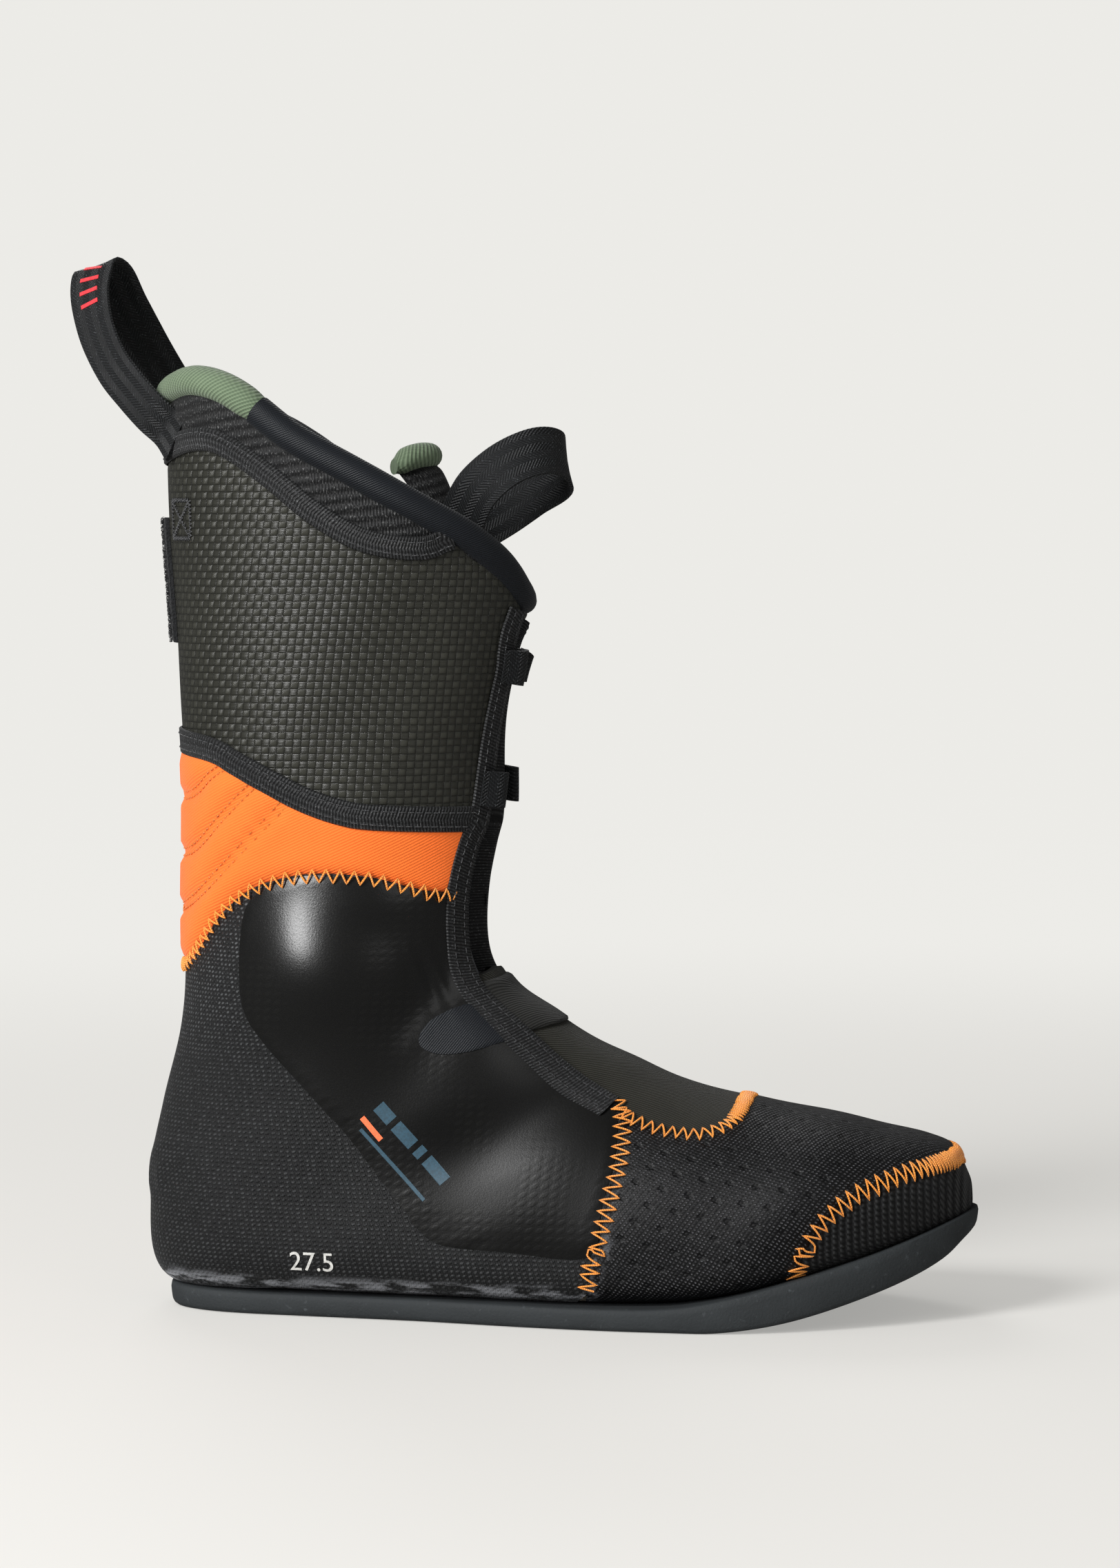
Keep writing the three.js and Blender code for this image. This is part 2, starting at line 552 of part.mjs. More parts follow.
// Webbing loops: a flat band through hand-placed points, with its width laid along given directions.
function webbing(route, widths, width, thickness, steps) {
  const path = new THREE.CatmullRomCurve3(route.map((p) => new THREE.Vector3(...p)));
  const lay = new THREE.CatmullRomCurve3(widths.map((p) => new THREE.Vector3(...p)));
  const stations = [];
  for (let i = 0; i <= steps; i += 1) {
    const tangent = path.getTangent(i / steps);
    const across = lay.getPoint(i / steps);
    across.addScaledVector(tangent, -across.dot(tangent)).normalize();
    const out = new THREE.Vector3().crossVectors(tangent, across);
    stations.push({ centre: path.getPoint(i / steps), across, out });
  }
  const [w, t] = [width / 2, thickness / 2];
  return sweep(stations, [[-w, -t], [w, -t], [w, t], [-w, t]]);
}
const WEB_WIDTH = 17;
const WEB_THICK = 1.6;
const rearLoopRoute = [
  [1, -25, 307], [-5, -27, 318], [-13, -25, 331], [-22, -18, 346], [-25, -8, 358], [-19, 2, 364],
  [-12, 12, 356], [-7, 20, 340], [-5, 25, 320], [1, 25, 307],
];
const rearLoopWidths = [
  [0.9, 0, 0.5], [0.7, 0, 0.5], [0.6, 0, 0.4], [0.4, 0, 0.2], [0.5, 0, 0.3], [0.6, 0, 0.4],
];
add('rear_pull_loop', webbing(rearLoopRoute, rearLoopWidths, WEB_WIDTH, WEB_THICK, 22), 'tape');
const frontLoopRoute = [
  [116.5, -11, 274], [122, -13, 278], [131, -12.5, 285], [142, -8, 292], [146.5, 0, 295], [142, 8, 292],
  [131, 12.5, 285], [122, 13, 278], [116.5, 11, 274],
];
const frontLoopWidths = [[-0.5, 0, 0.87], [-0.5, 0, 0.87]];
add('tongue_pull_loop', webbing(frontLoopRoute, frontLoopWidths, WEB_WIDTH, WEB_THICK, 20), 'tape');

// Lace loops: short humps of webbing on the throat tapes.
const LACE_WIDTH = 12;
const LACE_THICK = 1.2;
const laceWidths = [[0, 0, 1], [0, 0, 1]];
const laceHeights = { upper: 223, lower: 181 };
for (const [sideName, mirror] of [['lateral', 1], ['medial', -1]]) {
  for (const [level, height] of Object.entries(laceHeights)) {
    const flatLine = [point(REAR_END, height), point(FRONT_END, height)];
    const at = (turn, offset) => onSeam(flatLine, mirror > 0 ? turn : 1 - turn, offset);
    const route = [at(0.108, 2.6), at(0.1, 4.6), at(0.088, 6.2), at(0.076, 4.6), at(0.068, 2.6)];
    const loop = webbing(route.map((p) => p.toArray()), laceWidths, LACE_WIDTH, LACE_THICK, 8);
    add(`lace_loop_${level}_${sideName}`, loop, 'tape');
  }
}

export default group;
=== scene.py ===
import math

import bpy
import numpy as np
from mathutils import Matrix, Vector, geometry


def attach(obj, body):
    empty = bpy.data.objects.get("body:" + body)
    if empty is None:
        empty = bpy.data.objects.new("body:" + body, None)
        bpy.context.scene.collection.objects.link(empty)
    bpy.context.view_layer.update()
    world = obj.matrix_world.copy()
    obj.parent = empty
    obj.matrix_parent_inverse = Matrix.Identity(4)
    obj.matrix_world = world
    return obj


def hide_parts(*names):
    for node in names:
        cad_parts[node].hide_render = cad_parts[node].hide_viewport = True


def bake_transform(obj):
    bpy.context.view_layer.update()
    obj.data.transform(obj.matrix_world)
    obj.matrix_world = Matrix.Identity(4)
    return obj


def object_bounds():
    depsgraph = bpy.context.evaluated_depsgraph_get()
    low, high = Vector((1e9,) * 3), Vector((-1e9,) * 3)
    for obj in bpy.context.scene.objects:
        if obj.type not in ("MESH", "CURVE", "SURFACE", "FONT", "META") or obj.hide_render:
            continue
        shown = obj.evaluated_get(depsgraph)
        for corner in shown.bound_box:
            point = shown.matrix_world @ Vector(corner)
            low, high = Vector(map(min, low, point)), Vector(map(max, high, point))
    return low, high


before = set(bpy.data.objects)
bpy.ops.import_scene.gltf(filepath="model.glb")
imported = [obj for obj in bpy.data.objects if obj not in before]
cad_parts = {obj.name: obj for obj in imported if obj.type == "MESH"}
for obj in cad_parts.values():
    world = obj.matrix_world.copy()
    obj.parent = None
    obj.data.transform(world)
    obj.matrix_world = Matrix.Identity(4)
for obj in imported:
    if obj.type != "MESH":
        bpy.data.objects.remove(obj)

cad_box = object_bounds()
rng = np.random.default_rng(7)

ORIGIN_X = 90.0  # the frame's origin, from the back of the heel
MM = 0.001
SHELL = 7.0  # foam wall
LINING = -8.5  # inner face of the lining, as an offset from the skin
SLOT_HALF = 17.5  # half the width of the throat down the shin
FACE = 1.6  # face cloth, laminated on the foam
LINING_CLOTH = 1.6
UNDER_TAPE = 0.012  # how far the instep's pieces run under the throat tapes, as a part of a turn

# ---------------------------------------------------------------------------------------------- the last

# Sections: front x, z; rear x, z; half width; belly; roundness of the front and the rear part; drift.
SECTIONS = np.array([
    (150, 300, 4, 340, 58, 0.50, 2.2, 2.2, 0),
    (138, 250, 8, 278, 54, 0.50, 2.2, 2.2, 0),
    (128, 206, 11, 226, 50, 0.50, 2.2, 2.2, 0),
    (124, 172, 12.5, 184, 45, 0.50, 2.2, 2.2, 0),
    (120, 148, 13, 150, 41, 0.50, 2.2, 2.2, 0),
    (120, 128, 12.5, 120, 39, 0.50, 2.2, 2.2, 0),
    (128, 112, 10, 97, 39, 0.50, 2.2, 2.2, 0),
    (143, 102, 4, 70, 40, 0.52, 2.2, 2.2, 0),
    (158, 93, 0, 40, 41, 0.54, 2.2, 2.3, 0),
    (172, 87, 7, 9, 42, 0.57, 2.2, 2.5, 0),
    (186, 81, 60, 8, 45, 0.62, 2.2, 3.4, 0),
    (200, 76, 110, 8, 48, 0.66, 2.2, 4.0, 1),
    (215, 73, 155, 8, 51, 0.70, 2.2, 4.5, 2),
    (235, 69.5, 195, 10, 53, 0.72, 2.3, 4.5, 4),
    (255, 64.5, 228, 17, 53, 0.72, 2.4, 4.5, 6),
    (270, 61, 255, 25.5, 53, 0.70, 2.5, 4.0, 8),
    (279, 57, 273, 32, 53, 0.65, 2.5, 3.5, 9),
    (284, 48, 284, 37, 53, 0.60, 2.5, 3.0, 10),
    (285.4, 44, 285.4, 40, 53, 0.60, 2.5, 3.0, 10),
])
LAST = len(SECTIONS) - 1
TOE_SECTION = 13
TOE_END = 17
TOE_ROUND = (236, 285.5)  # the toe narrows in plan as a quarter of an ellipse between these x
SOLE_TURN = (8.7, 10)  # sections between which the rear line turns into the bottom line

COLLAR = [(-30, 304), (3, 313), (12, 318), (22, 320), (34, 317), (46, 310), (60, 300), (81, 288.5),
          (105, 275), (120, 266), (130, 256), (135, 245), (139, 236), (160, 215)]
TOP_TAPE = [(-30, 296), (3, 298), (21, 303), (32, 303), (42, 298), (55, 289), (69, 278), (83, 270),
            (96, 267), (106, 267), (114, 270), (121, 262), (150, 245)]
HEM = [(-30, 203), (9, 197), (29, 194), (38, 190), (50, 184), (62, 178), (74, 174), (86, 172), (118, 170.5),
       (160, 170)]
FLEX = [(-30, 112), (10, 118), (20, 124), (30, 137), (41, 146), (52, 150.5), (66, 153), (84, 152),
        (98, 148), (111, 145), (160, 142)]
THROAT = [(138, 258), (133, 241), (129.5, 228), (126, 200), (123.5, 184), (120.5, 170), (117, 160),
          (114, 146), (113.5, 133), (116, 120), (123, 109), (138, 96), (154, 83), (166, 76)]
INSTEP = [(166, 76), (169, 71.5), (180, 67), (193, 65), (200, 66), (206, 69), (208.5, 74)]
SIDE = [(166, 76), (169, 70), (169, 56), (166, 41), (162, 25), (156, -5)]
BUMPER = [(226, 0), (229, 18), (233, 29), (238, 37), (247, 45), (258, 50), (268, 53), (277, 54.5), (281, 55)]
SOLE_TOP = [(-30, 8), (10, 8), (40, 7.7), (110, 7.7), (175, 7.8), (200, 10.4), (229, 17.7), (258, 26.4),
            (286, 37), (310, 48)]
GROUND = [(-30, 0), (20, 0), (100, 0), (180, 0), (204, 0.2), (229, 4), (258, 13), (276, 21), (287, 30),
          (310, 44)]
FILM = [(47, 147), (41, 141), (39, 128), (40, 107), (47, 95), (60, 81), (76, 64), (94, 42), (102, 32),
        (110, 27.5), (131, 26), (160, 25), (164, 41), (167.5, 56), (167.5, 69), (164, 76), (154, 82),
        (138, 95), (123, 108), (116, 119), (113.5, 132), (113.5, 144), (98, 147.5), (84, 151.5),
        (66, 152.5), (56, 150.5)]
TOP_TAPE_WIDTH = 8.0
HEM_TAPE_WIDTH = 9.0


def smooth(low, high, value):
    f = np.clip((value - low) / (high - low), 0, 1)
    return f * f * (3 - 2 * f)


def spline(rows, at):
    """A uniform Catmull-Rom curve through rows of numbers, at fractional row numbers."""
    last = len(rows) - 1
    index = np.clip(np.floor(at).astype(int), 0, last - 1)
    f = (at - index)[..., None]
    before, a = rows[np.maximum(index - 1, 0)], rows[index]
    b, after = rows[index + 1], rows[np.minimum(index + 2, last)]
    return 0.5 * (2 * a + (b - before) * f + (2 * before - 5 * a + 4 * b - after) * f ** 2
                  + (3 * a - before - 3 * b + after) * f ** 3)


def catmull(points, steps):
    """A curve through the points, with so many steps to a span."""
    rows = np.asarray(points, float)
    return spline(rows, np.linspace(0, len(rows) - 1, steps * (len(rows) - 1) + 1))


def unit(vectors):
    return vectors / np.maximum(np.linalg.norm(vectors, axis=-1, keepdims=True), 1e-9)


def bisected(low, high, beyond, rounds=30):
    """The values between low and high at which beyond stops being true."""
    for _ in range(rounds):
        middle = (low + high) / 2
        past = beyond(middle)
        low, high = np.where(past, middle, low), np.where(past, high, middle)
    return low


def section_ends(row, position, offset):
    """The front and rear points of a section, in side view, moved out by offset."""
    front, rear = row[..., 0:2], row[..., 2:4]
    line = unit(rear - front)
    under = smooth(*SOLE_TURN, position)
    ahead = np.zeros_like(front)
    ahead[..., 0] = offset * smooth(TOE_SECTION, TOE_END, position)
    front = front - line * offset[..., None] + ahead
    rear = rear + line * (offset + under * (2 - 1.3 * offset))[..., None] + ahead
    return front, rear


def skin(position, turn, offset=0.0):
    """Points of the last. turn is 0 in front, 0.25 on the outer side, 0.5 behind and 0.75 on the inner."""
    position, turn, offset = np.broadcast_arrays(*(np.asarray(v, float) for v in (position, turn, offset)))
    row = spline(SECTIONS, position)
    front, rear = section_ends(row, position, offset)
    reach_in = (row[..., 0] - TOE_ROUND[0]) / (TOE_ROUND[1] - TOE_ROUND[0])
    toe_round = np.where(position < TOE_SECTION, 1, np.sqrt(np.clip(1 - np.maximum(0, reach_in) ** 2, 0, 1)))
    cos, sin = np.cos(2 * np.pi * turn), np.sin(2 * np.pi * turn)
    power = 2 / np.where(cos >= 0, row[..., 6], row[..., 7])
    reach, spread = np.abs(cos) ** power, np.sign(sin) * np.abs(sin) ** power
    belly = row[..., 5]
    share = np.where(cos >= 0, belly * (1 - reach), belly + (1 - belly) * reach)[..., None]
    spot = front + (rear - front) * share
    y = row[..., 8] - (row[..., 4] + offset) * toe_round * spread
    return np.stack([spot[..., 0], y, spot[..., 1]], -1)


def slopes(position, turn):
    """How the skin moves with position and with turn."""
    e = 1e-3
    along_position = (skin(position + e, turn) - skin(position - e, turn)) / (2 * e)
    along_turn = (skin(position, turn + e) - skin(position, turn - e)) / (2 * e)
    return along_position, along_turn


def normals(position, turn):
    along_position, along_turn = slopes(position, turn)
    return unit(np.cross(along_turn, along_position))


def hill(x, z, centre, spread, lean=0.0):
    """A smooth hill, 1 high, in side view."""
    dx, dz = x - centre[0], z - centre[1]
    c, s = math.cos(lean), math.sin(lean)
    return np.exp(-((dx * c + dz * s) / spread[0]) ** 2 - ((dz * c - dx * s) / spread[1]) ** 2)


def relief(points):
    """How far the upper stands off the plain last: ankle bone, hollows round it, creases and soft waves."""
    x, y, z = points[..., 0], points[..., 1], points[..., 2]
    ankle = 8.0 * hill(x, z, (70, 119), (26, 24), 0.5) + 1.2 * hill(x, z, (88, 143), (18, 8), -0.15)
    hollow = -3.0 * hill(x, z, (102, 104), (12, 18), -0.3)
    ball = 0.9 * hill(x, z, (154, 40), (26, 18), -0.2)
    heel_groove = -1.0 * hill(x, z, (24, 88), (12, 26))
    crease = np.sin(0.95 * (x - 100) + 0.45 * (z - 112)) * 0.5 * hill(x, z, (103, 118), (6, 11), 0.5)
    wave = 0.35 * np.sin(x / 13 + 1.3) * np.sin(z / 17 + y / 23) + 0.25 * np.sin(x / 7.5 - z / 11)
    disc = np.hypot(x - 13, z - 46)
    ring = 0.55 * (np.exp(-((disc - 12) / 1.7) ** 2) + np.exp(-((disc - 7) / 1.6) ** 2)) * (np.abs(y) > 4)
    standing = smooth(9, 24, z) * (1 - smooth(236, 262, x))
    return (ankle + hollow + ball + heel_groove + crease + wave + ring) * standing


def place(position, turn, offset=0.0):
    """Points of the upper, with its relief."""
    base = skin(position, turn)
    lift = relief(base)[..., None]
    return skin(position, turn, offset) + normals(position, turn) * lift


def locate(points):
    """(position, turn) of side-view points, on the outer half of the skin."""
    spot = np.asarray(points, float)
    none = np.zeros(len(spot))

    def beyond(position):
        front, rear = section_ends(spline(SECTIONS, position), position, none)
        line, gone = rear - front, spot - front
        return line[:, 0] * gone[:, 1] - line[:, 1] * gone[:, 0] > 0

    position = bisected(none, np.full(len(spot), float(LAST)), beyond, 40)
    row = spline(SECTIONS, position)
    front, rear = section_ends(row, position, none)
    line = rear - front
    share = np.clip(((spot - front) * line).sum(1) / (line ** 2).sum(1), 0, 1)
    belly = row[:, 5]
    ahead = share < belly
    reach = np.where(ahead, 1 - share / belly, (share - belly) / (1 - belly))
    cos = np.clip(reach, 0, 1) ** (np.where(ahead, row[:, 6], row[:, 7]) / 2)
    turn = np.arccos(cos) / (2 * np.pi)
    return np.stack([position, np.where(ahead, turn, 0.5 - turn)], 1)


def height_of(seam, x):
    points = catmull(seam, 8)
    return np.interp(x, points[:, 0], points[:, 1])


def on_seam(seam, turns, drop=0.0, low=0.0, high=8.0):
    """(position, turn) where the skin crosses a side-view seam, lowered by drop, at the given turns."""
    turns = np.asarray(turns, float)

    def above(position):
        p = skin(position, turns)
        return p[..., 2] > height_of(seam, p[..., 0]) - drop

    return np.stack([bisected(np.full(turns.shape, low), np.full(turns.shape, high), above), turns], -1)


def sole_line(rise=0.0):
    """(position, turn) along the sole's top line, or above it, on the outer side from the heel to the toe."""
    start = on_seam(SOLE_TOP, [0.5], -rise, high=10.0)[0, 0]
    positions = np.concatenate([start + np.linspace(0, 0.6, 12), np.linspace(start + 0.7, 17.45, 70)])

    def above(turn):
        p = skin(positions, turn)
        return p[..., 2] > height_of(SOLE_TOP, p[..., 0]) + rise

    turns = bisected(np.full(positions.shape, 0.25), np.full(positions.shape, 0.5), above)
    return np.stack([positions, turns], 1)


def slot_turn(position):
    """The turn at which the skin reaches the half width of the throat's slot."""
    row = spline(SECTIONS, np.asarray(position, float))
    spread = np.clip(SLOT_HALF / row[..., 4], 0, 1)
    return np.arcsin(spread ** (row[..., 6] / 2)) / (2 * np.pi)


def throat_line(low=0.0, high=LAST):
    """(position, turn) down the outer edge of the throat, between two positions."""
    line = locate(catmull(THROAT, 6))
    closing = smooth(8.4, 6.2, line[:, 0])
    line[:, 1] = np.maximum(line[:, 1], slot_turn(line[:, 0]) * closing)
    return line[(line[:, 0] >= low) & (line[:, 0] <= high)]


def throat_turn(position):
    line = throat_line()
    order = np.argsort(line[:, 0])
    return np.interp(position, line[order, 0], line[order, 1])


def crossing(seam, drop=0.0):
    """Where a seam from the rear meets the throat's edge."""
    turn = 0.08
    for _ in range(12):
        spot = on_seam(seam, [turn], drop)[0]
        turn = float(throat_turn(spot[0]))
    return spot


def round_to_throat(seam, drop=0.0, steps=60):
    """(position, turn) along a seam, from the middle of the rear to the throat's outer edge."""
    return on_seam(seam, np.linspace(0.5, crossing(seam, drop)[1], steps), drop)


def joined(*lines):
    """One line through several, without the points that they share."""
    points = np.concatenate(lines)
    keep = np.r_[True, np.abs(np.diff(points, axis=0)).max(1) > 1e-4]
    return points[keep]


def mirrored(line, about=0.5):
    """The same line on the inner side. about is the turn of the mid-plane that it mirrors in."""
    return np.stack([line[:, 0], 2 * about - line[:, 1]], 1)


def on_each_side(line):
    """An outer line and its mirror image, each with its side's name and the sign of its offsets."""
    return ("lateral", line, 1), ("medial", mirrored(line), -1)


def both_sides(half, about=0.5):
    """A closed outline from its outer half, which starts and ends on the mid-plane."""
    return np.concatenate([half, mirrored(half, about)[::-1][1:-1]])


ARC_POSITIONS = np.linspace(0, LAST, 4 * LAST + 1)
ARC_TURNS = np.linspace(-0.5, 1, 385)
_ring = skin(ARC_POSITIONS[:, None], ARC_TURNS[None, :])
_steps = np.linalg.norm(np.diff(_ring, axis=1), axis=2)
ARCS = np.concatenate([np.zeros((len(ARC_POSITIONS), 1)), np.cumsum(_steps, 1)], 1)


def arc(position, turn):
    """Length round a section, from the front."""
    row = np.clip(position * 4, 0, len(ARC_POSITIONS) - 1.001)
    column = np.clip((turn + 0.5) * 256, 0, len(ARC_TURNS) - 1.001)
    i, j = row.astype(int), column.astype(int)
    f, g = row - i, column - j
    table = ARCS - ARCS[:, 128:129]
    upper = table[i, j] * (1 - g) + table[i, j + 1] * g
    lower = table[i + 1, j] * (1 - g) + table[i + 1, j + 1] * g
    return upper * (1 - f) + lower * f


HEEL_CENTRE = 42.0
HEEL_RADIUS = 38.0


def cloth_round(position, turn):
    """Cloth coordinates of a panel that stands round the leg: along the section, and up."""
    base = skin(position, turn)
    return np.stack([arc(position, turn) - arc(position, np.full_like(position, 0.5)), base[..., 2]], -1)


def cloth_heel(position, turn):
    """Cloth coordinates of the foot's sides: along the foot from the middle of the heel, and up."""
    base = skin(position, turn)
    x, y = base[..., 0] - HEEL_CENTRE, base[..., 1]
    behind = HEEL_RADIUS * np.arctan2(np.abs(y), np.maximum(-x, 0))
    return np.stack([np.sign(y) * (behind + np.maximum(x, 0)), base[..., 2]], -1)


def cloth_toe(position, turn):
    """Cloth coordinates over the toe: along the foot, and across from the top."""
    return np.stack([skin(position, turn)[..., 0], arc(position, turn)], -1)


# ------------------------------------------------------------------------------------------- mesh making


class Mould:
    """Collects closed bodies, in drawing millimetres, and makes one mesh of them."""

    def __init__(self):
        self.points, self.faces, self.cloth, self.count = [], [], [], 0

    def add(self, points, faces, cloth):
        self.points.append(np.asarray(points, float).reshape(-1, 3))
        self.cloth.append(np.asarray(cloth, float).reshape(-1, 3))
        self.faces.extend([i + self.count for i in face] for face in faces)
        self.count += len(self.points[-1])

    def make(self, name, look, sharp=40):
        points = (np.concatenate(self.points) - (ORIGIN_X, 0, 0)) * MM
        mesh = bpy.data.meshes.new(name)
        mesh.from_pydata(points.tolist(), [], self.faces)
        mesh.validate()
        cloth = mesh.attributes.new("cloth", "FLOAT_VECTOR", "POINT")
        cloth.data.foreach_set("vector", np.concatenate(self.cloth).astype(np.float32).ravel())
        mesh.polygons.foreach_set("use_smooth", [True] * len(mesh.polygons))
        mesh.set_sharp_from_angle(angle=math.radians(sharp))
        mesh.materials.append(look)
        piece = bpy.data.objects.new(name, mesh)
        bpy.context.scene.collection.objects.link(piece)
        return piece


def lofted(rings, closed=False):
    """Faces over a row of closed rings, with flat ends unless the row closes on itself."""
    rows, count = rings.shape[:2]
    faces = []
    for r in range(rows if closed else rows - 1):
        a, b = r * count, ((r + 1) % rows) * count
        faces += [(a + i, a + (i + 1) % count, b + (i + 1) % count, b + i) for i in range(count)]
    if not closed:
        faces += [tuple(range(count))[::-1], tuple(range((rows - 1) * count, rows * count))]
    return faces


def facing_out(points, faces):
    """The same faces, turned round if the body is inside out."""
    p = points.reshape(-1, 3)
    volume = 0.0
    for face in faces:
        a = p[face[0]]
        for i in range(1, len(face) - 1):
            volume += a @ np.cross(p[face[i]], p[face[i + 1]])
    return faces if volume > 0 else [tuple(face)[::-1] for face in faces]


def lengths(points):
    return np.r_[0, np.cumsum(np.linalg.norm(np.diff(points, axis=0), axis=1))]


def tangents(points):
    return unit(np.gradient(points, axis=0))


def along(line, at, wanted):
    """Rows between those of a line, which stand at the places at, for the wanted places."""
    return np.stack([np.interp(wanted, at, column) for column in np.transpose(line)], 1)


def resampled(points, spacing, closed=False):
    """Points at even spacing along a line."""
    line = np.concatenate([points, points[:1]]) if closed else np.asarray(points, float)
    at = lengths(line)
    count = max(2, int(round(at[-1] / spacing)))
    wanted = np.linspace(0, at[-1], count + 1)
    if closed:
        wanted = wanted[:-1]
    return along(line, at, wanted)


def on_skin(line, spacing):
    """A (position, turn) line with points at even real spacing."""
    at = lengths(skin(*line.T))
    return along(line, at, np.linspace(0, at[-1], max(2, int(round(at[-1] / spacing))) + 1))


def beside(line, distance):
    """(position, turn) at a distance to the side of a line on the skin."""
    across = np.cross(normals(*line.T), tangents(skin(*line.T)))
    a, b = slopes(*line.T)
    aa, bb, ab = (a * a).sum(1), (b * b).sum(1), (a * b).sum(1)
    ac, bc = (a * across).sum(1), (b * across).sum(1)
    det = np.maximum(aa * bb - ab * ab, 1e-9)
    step = np.stack([(ac * bb - bc * ab) / det, (bc * aa - ac * ab) / det], 1)
    return line + step * np.asarray(distance, float).reshape(-1, 1)


DOMAIN = np.array([26.0, 300.0])  # rough millimetres to one section and one whole turn


def in_chunks(points, work):
    """The results of work on a few points at a time, which saves memory."""
    return np.concatenate([work(chunk) for chunk in np.array_split(points, max(1, len(points) // 2000))])


def distance_to(points, border):
    """Distance of points from a closed line, both flat."""
    a, b = border, np.roll(border, -1, axis=0)
    d = b - a
    squared = np.maximum((d ** 2).sum(1), 1e-12)

    def nearest(chunk):
        f = np.clip(((chunk[:, None] - a) * d).sum(2) / squared, 0, 1)
        return np.sqrt((((a + d * f[..., None]) - chunk[:, None]) ** 2).sum(2)).min(1)

    return in_chunks(points, nearest)


def inside(points, border):
    """Which points lie inside a closed line."""
    a, b = border, np.roll(border, -1, axis=0)
    rise = np.where(b[:, 1] == a[:, 1], 1e-12, b[:, 1] - a[:, 1])

    def crossed(chunk):
        x, y = chunk[:, :1], chunk[:, 1:]
        straddles = (a[:, 1] > y) != (b[:, 1] > y)
        hit = straddles & (x < a[:, 0] + (y - a[:, 1]) * (b[:, 0] - a[:, 0]) / rise)
        return hit.sum(1) % 2 == 1

    return in_chunks(points, crossed)


def slab(outer, inner, faces, coordinates):
    """A closed body between two surfaces that share their faces."""
    count, sides = len(outer), {}
    for face in faces:
        for i, j in zip(face, [*face[1:], face[0]]):
            alone = (j, i) not in sides
            sides[(i, j)] = alone
            if not alone:
                sides[(j, i)] = False
    rim = [(j, i, i + count, j + count) for (i, j), alone in sides.items() if alone]
    under = [tuple(i + count for i in reversed(face)) for face in faces]
    points = np.concatenate([outer, inner])
    return points, facing_out(points, [*map(tuple, faces), *under, *rim]), np.concatenate([coordinates] * 2)


def panel(outline, cloth, top, bottom, spacing=2.0, edge=1.8, tuck=0.6, lift=None):
    """A closed slab over an outline on the skin, with its upper edge rolled down by tuck over the width edge.
    lift(points) raises the upper face. Returns what Mould.add takes."""
    border = resampled(outline * DOMAIN, spacing, closed=True)
    low, high = border.min(0), border.max(0)
    xs, ys = np.arange(low[0], high[0], spacing), np.arange(low[1], high[1], spacing * 0.87)
    grid = np.stack(np.meshgrid(xs, ys, indexing="ij"), -1)
    grid[:, 1::2, 0] += spacing / 2
    grid = grid.reshape(-1, 2)
    grid = grid[inside(grid, border)]
    grid = grid[distance_to(grid, border) > spacing * 0.6]
    flat = [Vector(p) for p in np.concatenate([border, grid])]
    flat, _, faces, *_ = geometry.delaunay_2d_cdt(flat, [], [list(range(len(border)))], 1, 1e-6)
    flat = np.array(flat)
    position, turn = (flat / DOMAIN).T
    margin = distance_to(flat, border)
    upper = top - tuck * (1 - np.clip(margin / edge, 0, 1)) ** 2
    outer = place(position, turn, upper)
    if lift is not None:
        raised = lift(skin(position, turn)) * smooth(0, 2 * edge, margin)
        outer += normals(position, turn) * raised[:, None]
    inner = place(position, turn, bottom)
    coordinates = np.column_stack([cloth(position, turn), margin])
    return slab(outer, inner, faces, coordinates)


def sleeve(rings, run, section):
    """A closed body over rings of one section, with its cloth running along and across it."""
    girth = lengths(section)
    cloth = np.stack([np.repeat(run[:, None], len(section), 1), np.repeat(section[None, :, 0], len(run), 0),
                      np.repeat(girth[None], len(run), 0)], -1)
    return rings, facing_out(rings, lofted(rings)), cloth


def strip(line, section, flip=1):
    """A section of (across, offset) points carried along a (position, turn) line on the skin."""
    section = np.asarray(section, float)
    rows = [place(*beside(line, flip * a).T, o) for a, o in section]
    rings = np.stack(rows, 1)
    return sleeve(rings, lengths(rings[:, 0]), section)


def tape_section(width, base=0.25, top=1.2, steps=7):
    """A flat tape with rounded edges."""
    half = width / 2
    across = np.linspace(-half + 0.5, half - 0.5, steps)
    upper = [(a, top) for a in across[::-1]]
    return [(half, base + 0.1), (half - 0.1, (top + base) / 2), *upper, (-half + 0.1, (top + base) / 2),
            (-half, base + 0.1), (-half + 0.5, base), (half - 0.5, base)]


def tube(centres, outs, radius, sides=6):
    """A round thread along points, with the directions that point away from the cloth."""
    tangent = tangents(centres)
    side = unit(np.cross(tangent, outs))
    out = np.cross(side, tangent)
    angle = np.arange(sides) * 2 * np.pi / sides
    radius = np.broadcast_to(radius, (len(centres),))
    ring = side[:, None] * np.cos(angle)[None, :, None] + out[:, None] * np.sin(angle)[None, :, None]
    rings = centres[:, None] + ring * radius[:, None, None]
    run = lengths(centres)
    cloth = np.stack([np.repeat(run[:, None], sides, 1), np.repeat(angle[None] / 2, len(run), 0),
                      np.zeros((len(run), sides))], -1)
    return rings, lofted(rings), cloth


